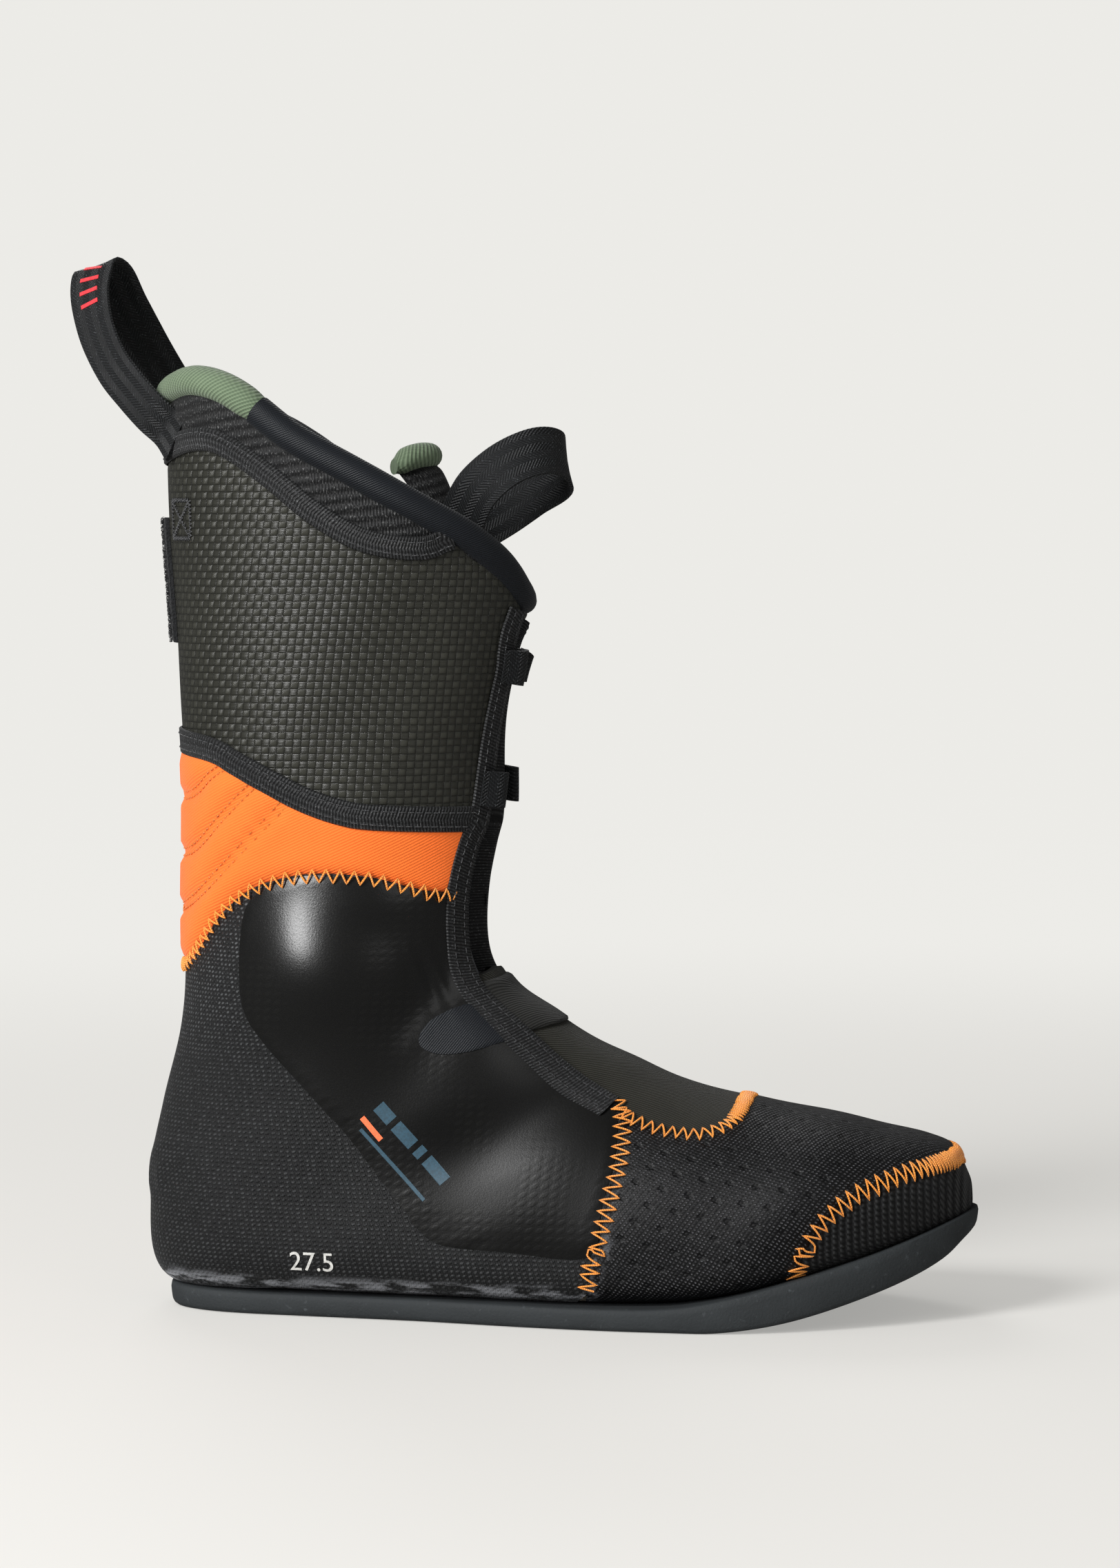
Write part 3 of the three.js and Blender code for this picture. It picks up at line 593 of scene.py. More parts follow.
def zigzag(mould, line, width, pitch, lift, radius=0.34, loose=0.08):
    """A zigzag seam's thread, over a (position, turn) line. pitch(share) is the run of one zig and zag."""
    fine = on_skin(line, 0.5)
    run = lengths(skin(*fine.T))
    stops = [0.0]
    while stops[-1] < run[-1]:
        stops.append(stops[-1] + pitch(stops[-1] / run[-1]) / 2 * (1 + loose * rng.uniform(-1, 1)))
    stops = np.array(stops[:-1])
    at = along(fine, run, stops)
    turned = np.where(np.arange(len(stops)) % 2, 1, -1)
    reach = width / 2 * turned * (1 + loose * rng.uniform(-1, 1, len(stops)))
    corners = beside(at, reach)
    legs = 6
    share = np.arange(legs) / legs
    spots = np.concatenate([a + (b - a) * share[:, None] for a, b in zip(corners[:-1], corners[1:])])
    arch = np.tile(np.sin(np.pi * share) ** 0.5, len(corners) - 1)
    offset = lift - radius * 0.9 + arch * radius * 1.7
    centres = place(*spots.T, offset)
    mould.add(*tube(centres, normals(*spots.T), radius))


def stitched(mould, line, lift, length=2.1, gap=0.9, radius=0.2, aside=0.0):
    """A row of plain stitches along a (position, turn) line, or beside it."""
    fine = beside(on_skin(line, 0.5), aside) if aside else on_skin(line, 0.5)
    run = lengths(skin(*fine.T))
    share = np.array([0, 0.15, 0.5, 0.85, 1])
    dip = np.array([-1.1, 0.25, 0.6, 0.25, -1.1]) * radius
    for start in np.arange(gap, run[-1] - length, length + gap):
        spots = along(fine, run, start + share * length)
        mould.add(*tube(place(*spots.T, lift + dip), normals(*spots.T), radius, 5))


def carried(centres, across, outs, section, scale=None):
    """A section of (across, out) points carried along free stations."""
    section = np.asarray(section, float)
    size = np.ones(len(centres)) if scale is None else scale
    rings = (centres[:, None] + across[:, None] * section[None, :, :1] * size[:, None, None]
             + outs[:, None] * section[None, :, 1:] * size[:, None, None])
    return sleeve(rings, lengths(centres), section)


# --------------------------------------------------------------------------------------------- materials


def rgb(red, green, blue):
    """A linear colour from the 0 to 255 values of a screen colour."""
    def linear(v):
        return v / 3294.6 if v < 10.3 else ((v / 255 + 0.055) / 1.055) ** 2.4

    return linear(red), linear(green), linear(blue), 1.0


class Field:
    """A number that varies over a surface: the output of a shader node."""

    def __init__(self, look, socket):
        self.look, self.socket = look, socket

    def do(self, operation, *others, clamp=False):
        node = self.look.node("ShaderNodeMath", operation=operation, use_clamp=clamp)
        for socket, value in zip(node.inputs, (self, *others)):
            self.look.put(socket, value)
        return Field(self.look, node.outputs[0])

    def __add__(self, other):
        return self.do("ADD", other)

    def __sub__(self, other):
        return self.do("SUBTRACT", other)

    def __mul__(self, other):
        return self.do("MULTIPLY", other)

    def __truediv__(self, other):
        return self.do("DIVIDE", other)

    def wave(self, period=1.0):
        """A sine of this period."""
        return (self * (2 * math.pi / period)).do("SINE")

    def saw(self, period=1.0):
        """0 to 1 over each period."""
        return (self / period).do("FRACT")

    def smooth(self, low, high):
        node = self.look.node("ShaderNodeMapRange", interpolation_type="SMOOTHSTEP")
        for socket, value in zip(node.inputs, (self, low, high, 0.0, 1.0)):
            self.look.put(socket, value)
        return Field(self.look, node.outputs[0])


class Look:
    """A procedural material. u and v are cloth coordinates in mm, and rim the distance to the edge."""

    def __init__(self, name, roughness=0.8, **settings):
        self.material = bpy.data.materials.new(name)
        self.material.use_nodes = True
        self.tree = self.material.node_tree
        self.shader = self.tree.nodes["Principled BSDF"]
        self.shader.inputs["Roughness"].default_value = roughness
        for socket, value in settings.items():
            self.shader.inputs[socket.replace("_", " ")].default_value = value
        node = self.node("ShaderNodeAttribute", attribute_name="cloth")
        self.cloth = node.outputs["Vector"]
        parts = self.node("ShaderNodeSeparateXYZ")
        self.tree.links.new(self.cloth, parts.inputs[0])
        self.u, self.v, self.rim = (Field(self, s) for s in parts.outputs)

    def node(self, kind, **settings):
        node = self.tree.nodes.new(kind)
        for key, value in settings.items():
            setattr(node, key, value)
        return node

    def put(self, socket, value):
        if isinstance(value, Field):
            self.tree.links.new(value.socket, socket)
        else:
            socket.default_value = value

    def place(self):
        """The place on the object, in millimetres, for noise."""
        spot = self.node("ShaderNodeTexCoord").outputs["Object"]
        node = self.node("ShaderNodeVectorMath", operation="SCALE")
        self.tree.links.new(spot, node.inputs[0])
        node.inputs["Scale"].default_value = 1 / MM
        return node.outputs[0]

    def noise(self, size, detail=2.0, on=None, stretch=(1, 1, 1)):
        """Noise from 0 to 1, with features of this size in millimetres."""
        node = self.node("ShaderNodeVectorMath", operation="MULTIPLY")
        self.tree.links.new(on or self.place(), node.inputs[0])
        node.inputs[1].default_value = [s / size for s in stretch]
        made = self.node("ShaderNodeTexNoise")
        self.tree.links.new(node.outputs[0], made.inputs["Vector"])
        made.inputs["Scale"].default_value = 1.0
        made.inputs["Detail"].default_value = detail
        return Field(self, made.outputs[0])

    def mix(self, share, low, high):
        """A colour between two, each a tuple or another mix."""
        node = self.node("ShaderNodeMix", data_type="RGBA")
        self.put(node.inputs[0], share)
        self.put(node.inputs[6], low)
        self.put(node.inputs[7], high)
        return Field(self, node.outputs[2])

    def colour(self, value):
        self.put(self.shader.inputs["Base Color"], value)

    def rough(self, value):
        self.put(self.shader.inputs["Roughness"], value)

    def bump(self, height, depth):
        """height runs from 0 to 1 over a depth in millimetres."""
        node = self.node("ShaderNodeBump")
        node.inputs["Distance"].default_value = depth * MM
        self.put(node.inputs["Height"], height)
        self.tree.links.new(node.outputs[0], self.shader.inputs["Normal"])


def dots(look, across, up, size=0.7, lean=0.0):
    """Staggered round dots, 1 at their middles."""
    row = look.v / up
    shift = row.do("FLOOR") * 0.5
    a = (look.u / across + shift + look.v * lean).do("FRACT") - 0.5
    b = row.do("FRACT") - 0.5
    reach = (a * a + b * b).do("SQRT")
    return reach.smooth(size / 2, size / 6)


def checker_weave():
    """Embossed satin checks of 2.9 mm, woven of raised and sunken bands, their colour painted lighter on the
    raised checks as painted highlight and darker in the sunken bands as painted shade.
    """
    look = Look("checker_weave", 0.42, Specular_IOR_Level=0.4)
    b = look.v / 2.45
    a = look.u / 2.9 + b * 0.22
    over = ((a * math.pi).do("SINE") * (b * math.pi).do("SINE")).smooth(-0.1, 0.1)
    across = (a * math.pi).do("SINE").do("ABSOLUTE").do("POWER", 0.4)
    along = (b * math.pi).do("SINE").do("ABSOLUTE").do("POWER", 0.4)
    strands = (look.u - look.v * 0.6).wave(0.5) * over + look.v.wave(0.5) * (over * -1.0 + 1.0)
    height = across * along * (over * 0.4 + 0.5) + strands * 0.06
    patch = look.noise(30.0)
    # Painted light: the colour follows the weave's height, with painted highlight on the raised checks and
    # painted shade in the sunken bands.
    light = look.mix(patch, rgb(48, 48, 43), rgb(58, 58, 51))
    sunken_shade = look.mix(patch, rgb(24, 24, 21), rgb(30, 30, 26))
    look.colour(look.mix(height.do("MULTIPLY", 1.15, clamp=True), sunken_shade, light))
    look.rough(look.noise(2.0) * 0.12 + 0.28)
    look.bump(height, 0.55)
    return look.material


def dull_knit():
    """Dense black knit with a fine raised birdseye, painted glints on its dots that grow stronger higher up,
    and glue marks above the sole.
    """
    look = Look("dull_knit", 0.62, Sheen_Weight=0.06, Sheen_Roughness=0.5, Specular_IOR_Level=0.3)
    dot = dots(look, 2.1, 1.5, 0.85, 0.25)
    thread = (look.u + look.v * 0.3).wave(0.6) * 0.5 + 0.5
    # Painted highlight: glints painted on the dots, stronger higher up.
    upper = look.v.smooth(80.0, 125.0) * 0.5 + 0.3
    glint = dot * upper * look.noise(1.1).smooth(0.4, 0.62)
    base = look.mix(thread, rgb(5, 5, 6), rgb(21, 22, 23))
    cloth = look.mix(glint, base, rgb(92, 94, 96))
    glue = look.v.smooth(16.0, 11.0) * look.noise(4.5, 4.0, stretch=(0.4, 0.4, 1.6)).smooth(0.42, 0.58)
    smear = look.v.smooth(12.5, 9.5) * look.noise(1.4, 3.0).smooth(0.4, 0.75)
    look.colour(look.mix((glue * 0.8 + smear * 0.4).do("MINIMUM", 0.85), cloth, rgb(140, 142, 148)))
    look.bump(dot * 0.8 + thread * 0.2, 0.32)
    return look.material


def collar_knit():
    """Ribbed black knit in rows, with a painted glitter of glints, stronger on the rib crests."""
    look = Look("collar_knit", 0.65, Sheen_Weight=0.06, Specular_IOR_Level=0.35)
    rib = (look.v + look.u * 0.12).wave(3.6) * 0.5 + 0.5
    stitch = (look.u + look.v.saw(3.6) * 0.5).wave(1.15) * 0.5 + 0.5
    # Painted highlight: pale glints, stronger on the rib crests.
    painted_glitter = look.noise(0.8, 1.0, on=look.cloth, stretch=(1.6, 0.8, 0)).smooth(0.56, 0.72)
    base = look.mix(rib * stitch, rgb(5, 5, 6), rgb(25, 26, 27))
    look.colour(look.mix(painted_glitter * (rib * 0.6 + 0.25), base, rgb(98, 98, 98)))
    look.bump(rib * 0.7 + stitch * 0.3, 0.5)
    return look.material


def toe_mesh():
    """Open polyester mesh: a slanted net of threads with painted glints on their knots, over small holes,
    with wider dimples painted dark as painted shade.
    """
    look = Look("toe_mesh", 0.5, Specular_IOR_Level=0.35)
    slant, rise = look.u + look.v * 0.6, look.v - look.u * 0.25
    ridge = slant.wave(1.5) * 0.5 + 0.5
    cell = rise.wave(1.3) * 0.5 + 0.5
    knot = (ridge * cell).smooth(0.45, 0.95)
    hole = (ridge * cell).smooth(0.3, 0.02)
    # Painted highlight: glints painted on the knots.
    painted_glint = knot * look.noise(1.7, 2.0).smooth(0.38, 0.6)
    dimple = dots(look, 9.0, 7.5, 0.42)
    base = look.mix(hole, rgb(16, 16, 18), rgb(3, 3, 4))
    cloth = look.mix(painted_glint * 0.7, base, rgb(104, 104, 108))
    # Painted shade: the recessed dimples are painted nearly black.
    cloth = look.mix(dimple * 0.9, cloth, rgb(3, 3, 4))
    glue = look.rim.smooth(4.0, 0.8) * look.v.do("ABSOLUTE").smooth(78.0, 92.0)
    glue = glue * look.noise(3.0, 3.0).smooth(0.4, 0.6)
    look.colour(look.mix(glue * 0.5, cloth, rgb(110, 112, 118)))
    look.bump(knot * 0.5 - hole * 0.3 - dimple * 0.7 + 0.6, 0.4)
    return look.material


def bumper_rib():
    """Coarse ribbed knit of the toe bumper."""
    look = Look("bumper_rib", 0.75, Sheen_Weight=0.05, Specular_IOR_Level=0.25)
    rib = look.u.wave(2.3) * 0.5 + 0.5
    loops = (look.v + look.u.saw(2.3) * 0.7).wave(1.7) * 0.5 + 0.5
    fuzz = look.noise(0.9, 3.0)
    look.colour(look.mix(rib * loops * fuzz, rgb(7, 7, 8), rgb(66, 67, 68)))
    look.bump(rib * 0.8 + loops * 0.25 + fuzz * 0.2, 0.8)
    return look.material


def gloss_film():
    """Fused film with a leathery grain, and the knit's dimples showing through in places."""
    look = Look("gloss_film", 0.3, Specular_IOR_Level=0.62)
    shown = look.noise(30.0, 1.0).smooth(0.42, 0.62)
    dot = dots(look, 3.6, 2.9, 0.9, 0.2)
    grain = look.noise(0.6, 3.0)
    tone = look.noise(40.0)
    # Painted highlight: the dimples are painted a little lighter, as small glints.
    look.colour(look.mix(tone * 0.7 + dot * shown * 0.3, rgb(9, 9, 9), rgb(19, 19, 18)))
    upper = look.v.smooth(62.0, 95.0)
    look.rough(grain * 0.12 - upper * 0.1 + 0.3)
    look.put(look.shader.inputs["Specular IOR Level"], upper * 0.46 + 0.2)
    look.bump(dot * shown * 0.14 + grain * 0.16, 0.22)
    return look.material


def orange_neoprene():
    """Stretch jersey on neoprene: fine slanted wale lines."""
    look = Look("orange_neoprene", 0.75, Sheen_Weight=0.12, Sheen_Roughness=0.5, Specular_IOR_Level=0.2)
    wale = (look.v * 1.0 + look.u * 0.42).wave(0.95) * 0.5 + 0.5
    cross = (look.u - look.v * 0.3).wave(0.7) * 0.5 + 0.5
    tone = look.noise(18.0)
    base = look.mix(tone, rgb(246, 110, 38), rgb(252, 122, 48))
    deep = look.mix(wale * 0.3 + cross * 0.12, base, rgb(228, 98, 30))
    # Painted shade: the colour darkens near the panel's edges, where it rolls down into its seams.
    look.colour(look.mix(look.rim.smooth(1.6, 0.2) * 0.35, deep, rgb(190, 74, 24)))
    look.bump(wale * 0.8 + cross * 0.2, 0.16)
    return look.material


def twill(name, dark, light, period, depth, roughness=0.8, sheen=0.25, lean=0.75):
    """A fine diagonal twill."""
    look = Look(name, roughness, Sheen_Weight=sheen, Sheen_Roughness=0.5, Specular_IOR_Level=0.25)
    line = (look.u + look.v * lean).wave(period) * 0.5 + 0.5
    thread = (look.v - look.u * 0.3).wave(period * 0.62) * 0.5 + 0.5
    tone = look.noise(9.0) * 0.3
    look.colour(look.mix(line * 0.55 + thread * 0.15 + tone, dark, light))
    look.bump(line * 0.75 + thread * 0.25, depth)
    return look.material


def grosgrain():
    """Ribbed binding tape with darker woven edges."""
    look = Look("grosgrain", 0.55, Sheen_Weight=0.04, Specular_IOR_Level=0.35)
    slant = look.u + look.v.do("ABSOLUTE") * 0.25
    rib = slant.wave(1.15) * 0.5 + 0.5
    cord = look.v.wave(1.9) * 0.5 + 0.5
    fuzz = look.noise(0.8, 3.0)
    # Painted highlight: glints painted on the ribs.
    painted_glint = look.noise(0.5, 2.0).smooth(0.58, 0.7) * rib
    base = look.mix(rib * (cord * 0.5 + 0.5), rgb(9, 9, 10), rgb(44, 45, 46))
    look.colour(look.mix(painted_glint * 0.6, base, rgb(112, 113, 115)))
    look.bump(rib * 0.6 + cord * 0.25 + fuzz * 0.25, 0.4)
    return look.material


def webbing():
    """Herringbone webbing."""
    look = Look("webbing", 0.55, Sheen_Weight=0.04, Specular_IOR_Level=0.35)
    column = (look.v.saw(5.6) - 0.5).do("ABSOLUTE") * 5.6
    line = (look.u + column).wave(1.25) * 0.5 + 0.5
    thread = look.v.wave(0.62) * 0.5 + 0.5
    # Painted highlight: glints painted on the herringbone lines.
    painted_glint = look.noise(0.6, 2.0).smooth(0.58, 0.72) * line
    base = look.mix(line * 0.7 + thread * 0.2, rgb(4, 5, 6), rgb(24, 26, 28))
    look.colour(look.mix(painted_glint * 0.5, base, rgb(96, 99, 103)))
    look.bump(line * 0.8 + thread * 0.2, 0.32)
    return look.material


def sole_foam():
    """Moulded foam with fine pores and scuffs."""
    look = Look("sole_foam", 0.78, Specular_IOR_Level=0.35)
    pores, scuff = look.noise(0.9, 3.0), look.noise(14.0, 5.0)
    dust = look.noise(2.2, 5.0).smooth(0.62, 0.8)
    base = look.mix(scuff, rgb(34, 37, 39), rgb(48, 52, 54))
    look.colour(look.mix(dust * 0.35, base, rgb(92, 97, 101)))
    look.rough(scuff * 0.2 + 0.66)
    look.bump(pores * 0.5 + scuff * 0.7, 0.35)
    return look.material


def pad_foam():
    look = Look("pad_foam", 0.9)
    cells = look.noise(0.8, 4.0)
    look.colour(look.mix(cells, rgb(34, 36, 38), rgb(60, 63, 66)))
    look.bump(cells, 0.4)
    return look.material


def lining_cloth():
    """Heather grey brushed lining."""
    look = Look("lining_cloth", 0.9, Sheen_Weight=0.1, Specular_IOR_Level=0.25)
    streak = look.noise(1.4, 4.0, stretch=(1, 1, 0.3)).smooth(0.36, 0.64)
    knit = look.u.wave(1.0) * look.v.wave(1.1) * 0.5 + 0.5
    look.colour(look.mix(streak * 0.8 + knit * 0.2, rgb(38, 40, 44), rgb(96, 99, 104)))
    look.bump(knit * 0.6 + streak * 0.4, 0.3)
    return look.material


def board():
    """Pressed fibre board."""
    look = Look("board", 0.9)
    fibre = look.noise(1.6, 5.0, stretch=(0.3, 1, 1))
    look.colour(look.mix(fibre, rgb(176, 166, 146), rgb(214, 206, 188)))
    look.bump(fibre, 0.2)
    return look.material


def hook_and_loop():
    """Loop pile."""
    look = Look("hook_and_loop", 0.85, Sheen_Weight=0.1, Specular_IOR_Level=0.2)
    pile = look.noise(0.8, 4.0)
    look.colour(look.mix(pile, rgb(8, 8, 9), rgb(44, 45, 47)))
    look.bump(pile, 0.8)
    return look.material


def sewing_thread(name, dark, light):
    """Twisted polyester thread."""
    look = Look(name, 0.45, Sheen_Weight=0.2, Specular_IOR_Level=0.5)
    twist = (look.u + look.v * 0.35).wave(0.75) * 0.5 + 0.5
    look.colour(look.mix(twist * 0.6 + look.noise(6.0) * 0.4, dark, light))
    look.bump(twist, 0.12)
    return look.material


def printed(name, colour, worn):
    """Screen print, slightly worn."""
    look = Look(name, 0.5)
    look.colour(look.mix(look.noise(0.9, 3.0).smooth(0.3, 0.75) * 0.6, colour, worn))
    return look.material


WOVEN = (checker_weave, dull_knit, collar_knit, toe_mesh, bumper_rib, gloss_film, orange_neoprene, grosgrain,
         webbing, sole_foam, pad_foam, lining_cloth, board, hook_and_loop)
TWILLS = {  # dark, light, period, depth, roughness, sheen and lean
    "green_twill": (rgb(66, 82, 61), rgb(120, 136, 110), 1.5, 0.32, 0.8, 0.12),
    "navy_twill": (rgb(9, 11, 14), rgb(25, 29, 35), 0.9, 0.14, 0.5, 0.05),
    "stretch_weave": (rgb(14, 14, 11), rgb(48, 47, 38), 1.0, 0.3, 0.82, 0.05, 1.0),
    "strap_weave": (rgb(13, 13, 12), rgb(44, 44, 41), 0.8, 0.2, 0.8, 0.05, 0.5),
}
THREADS = {
    "orange_thread": (rgb(214, 112, 22), rgb(255, 176, 74)),
    "orange_stitch": (rgb(178, 84, 12), rgb(232, 132, 26)),
    "black_thread": (rgb(12, 12, 13), rgb(62, 63, 66)),
}
PRINTS = {
    "white_print": (rgb(205, 204, 200), rgb(150, 150, 147)),
    "blue_print": (rgb(38, 74, 92), rgb(30, 50, 60)),
    "orange_print": (rgb(250, 116, 66), rgb(200, 88, 48)),
    "red_weave": (rgb(214, 50, 58), rgb(150, 34, 42)),
}
LOOKS = {look.__name__: look() for look in WOVEN}
for family, kind in ((TWILLS, twill), (THREADS, sewing_thread), (PRINTS, printed)):
    LOOKS.update({name: kind(name, *values) for name, values in family.items()})

# ------------------------------------------------------------------------------------- pieces and bodies


def settled(points):
    """The inner side's collar stands a little lower, and its throat edge a little further back."""
    edge = height_of(COLLAR, points[:, 0])
    share = smooth(4, 38, points[:, 1]) * smooth(-34, -2, points[:, 2] - edge)
    back = smooth(2, 12, points[:, 1]) * smooth(150, 215, points[:, 2]) * smooth(85, 118, points[:, 0])
    return points - np.outer(share, (0, 0, 11.0)) - np.outer(back, (4.0, 0, 0))


def mount(piece, body, nodes=()):
    """Puts a piece on a body, or between the foot and the cuff."""
    if body in ("cuff", "ankle"):
        points = np.empty(len(piece.data.vertices) * 3)
        piece.data.vertices.foreach_get("co", points)
        drawn = points.reshape(-1, 3) / MM + (ORIGIN_X, 0, 0)
        piece.data.vertices.foreach_set("co", ((settled(drawn) - (ORIGIN_X, 0, 0)) * MM).ravel())
    if body == "ankle":
        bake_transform(piece)
    else:
        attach(piece, body)
    if nodes:
        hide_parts(*nodes)
    return piece


def made(name, look, parts, body, slot=None, nodes=(), sharp=40):
    """One piece from closed bodies."""
    mould = Mould()
    for part in parts:
        mould.add(*part)
    return mount(mould.make(name, LOOKS[look], sharp), body, nodes)


# The outlines, each from its outer half.
top_edge = round_to_throat(TOP_TAPE, TOP_TAPE_WIDTH / 2)
hem_edge = round_to_throat(HEM)
flex_edge = round_to_throat(FLEX)
sole_edge = sole_line()


def above_sole(seam):
    """(position, turn) along the part of a seam that stands above the sole."""
    return locate([p for p in catmull(seam, 5) if p[1] > height_of(SOLE_TOP, p[0]) + 0.1])


side_seam, bumper_seam = above_sole(SIDE), above_sole(BUMPER)
bumper_top = np.interp(282.0, SECTIONS[13:18, 0], np.arange(13.0, 18.0))
bumper_seam = np.concatenate([bumper_seam, [[bumper_top, 0.0]]])
instep_top = np.interp(208.7, SECTIONS[10:14, 0], np.arange(10.0, 14.0))
instep_seam = np.concatenate([locate(catmull(INSTEP, 5)), [[instep_top, 0.0]]])


def sole_between(low, high):
    return sole_edge[(sole_edge[:, 0] >= low) & (sole_edge[:, 0] <= high)]


cuff_half = joined(top_edge, throat_line(top_edge[-1, 0], hem_edge[-1, 0]), hem_edge[::-1])
flex_half = joined(hem_edge, throat_line(hem_edge[-1, 0], flex_edge[-1, 0]), flex_edge[::-1])
heel_half = joined(flex_edge, throat_line(flex_edge[-1, 0]), side_seam,
                   sole_between(0, side_seam[-1, 0])[::-1])
toe_half = joined(instep_seam[::-1], side_seam[1:], sole_between(side_seam[-1, 0], bumper_seam[0, 0]),
                  bumper_seam)
tip = np.array([[LAST, 0.5], [LAST, 0.0]])
bumper_half = joined(bumper_seam[::-1], sole_between(bumper_seam[0, 0], LAST), tip)

# Cuff.
cuff = panel(both_sides(cuff_half), cloth_round, 0.0, -FACE, spacing=2.2)
made("cuff_shell_weave", "checker_weave", [cuff], "cuff", "checker_weave", ["cuff_shell"])
collar_top = on_seam(COLLAR, top_edge[:, 1], 5.0)
collar_top[:, 0] = np.minimum(collar_top[:, 0], top_edge[:, 0] - 0.02)
collar = panel(both_sides(joined(collar_top, top_edge[::-1])), cloth_round, 0.2, -FACE, spacing=2.2)
made("collar_mesh_knit", "collar_knit", [collar], "cuff", "dull_knit", ["collar_mesh"])

# Orange flex zone, padded between its quilting seams.
QUILTS = [[(36, 190), (28, 185.5), (22, 180), (16, 177.5), (-10, 177)],
          [(48, 186), (34, 173), (22, 161), (14, 157.5), (-10, 156.5)],
          [(59, 180), (36, 157.5), (22, 144), (12, 137.5), (-10, 136)]]


def quilted(points):
    """The flex zone's padding between its seams."""
    side_view = points[:, [0, 2]]
    dip = np.zeros(len(points))
    for line in QUILTS:
        curve = catmull(line, 6)
        gap = np.sqrt(((side_view[:, None] - curve[None]) ** 2).sum(2)).min(1)
        dip = np.maximum(dip, 1 - smooth(0.8, 4.2, gap))
    rear = smooth(84, 30, points[:, 0])
    return 0.5 + 1.3 * rear * (1 - dip) - 0.45 * dip


flex_panel = panel(both_sides(flex_half), cloth_round, 0.0, LINING, spacing=1.8, edge=3.0, tuck=1.0,
                   lift=quilted)
flex_zone = made("flex_zone_neoprene", "orange_neoprene", [flex_panel], "ankle", "orange_neoprene",
                 ["flex_zone"])

# Foot.
heel = panel(both_sides(heel_half), cloth_heel, 0.0, -FACE, spacing=2.0, edge=1.0, tuck=0.3)
made("foot_shell_knit", "dull_knit", [heel], "foot", "heel_knit", ["foot_shell"])
toe = panel(both_sides(toe_half, 0.0), cloth_toe, 0.0, -FACE, spacing=1.8, edge=1.5, tuck=0.5)
made("toe_box_mesh", "toe_mesh", [toe], "foot", "toe_mesh", ["toe_box"])
bumper = panel(both_sides(bumper_half, 0.0), cloth_toe, -0.2, -0.2 - FACE, spacing=1.6, edge=1.8, tuck=0.7)
made("toe_bumper_knit", "bumper_rib", [bumper], "foot", "dull_knit", ["toe_bumper"])
film_outline = locate(catmull([*FILM, FILM[0]], 4)[:-1])
for side, outline, _ in on_each_side(film_outline):
    film = panel(outline, cloth_heel, 0.42, 0.05, spacing=1.8, edge=0.8, tuck=0.3)
    made(f"ankle_film_{side}_gloss", "gloss_film", [film], "foot", "gloss_film", [f"ankle_film_{side}"])

# Lining, which shows from above down to the footbed.
LINED = {"spacing": 3.2, "edge": 1.0, "tuck": 0.0}
lining_top = on_seam(COLLAR, hem_edge[:, 1], 4.0)
cuff_lining_half = joined(lining_top, throat_line(lining_top[-1, 0], hem_edge[-1, 0]), hem_edge[::-1])
cuff_lining = panel(both_sides(cuff_lining_half), cloth_round, -SHELL, -SHELL - LINING_CLOTH, **LINED)
made("cuff_lining_cloth", "lining_cloth", [cuff_lining], "cuff", "lining_cloth", ["cuff_lining"])
flex_lining = panel(both_sides(flex_half), cloth_round, LINING - 0.2, LINING - 1.0, **LINED)
made("flex_zone_lining", "lining_cloth", [flex_lining], "ankle", "lining_cloth")
raised_sole = sole_line(rise=5.0)
upper_side_seam = side_seam[side_seam[:, 1] < 0.36]
heel_lining_half = joined(flex_edge, throat_line(flex_edge[-1, 0]), upper_side_seam,
                          raised_sole[raised_sole[:, 0] < side_seam[-1, 0]][::-1])
heel_lining = panel(both_sides(heel_lining_half), cloth_heel, -SHELL, -SHELL - LINING_CLOTH, **LINED)
made("heel_lining_cloth", "lining_cloth", [heel_lining], "foot", "lining_cloth", ["heel_lining"])

# Tapes over the cuff's upper and lower edges.


def round_the_leg(edge, short=0.0):
    """A line from the outer throat edge round the rear to the inner one, ending short of both."""
    half = edge[::-1]
    run = lengths(skin(*half.T))
    half = half[run >= short]
    return np.concatenate([half, mirrored(half)[::-1][1:]])


tape_lines = {"cuff_top_tape": (round_the_leg(top_edge, 38.0), TOP_TAPE_WIDTH),
              "cuff_hem_tape": (round_the_leg(hem_edge, 6.0), HEM_TAPE_WIDTH)}
for name, (line, width) in tape_lines.items():
    line = on_skin(line, 1.5)
    made(f"{name}_grosgrain", "grosgrain", [strip(line, tape_section(width))], "cuff", "grosgrain", [name])
    rows = Mould()
    for aside in (-0.27 * width, 0.27 * width):
        stitched(rows, line, 1.25, aside=aside)
    mount(rows.make(f"{name}_stitches", LOOKS["black_thread"]), "cuff")

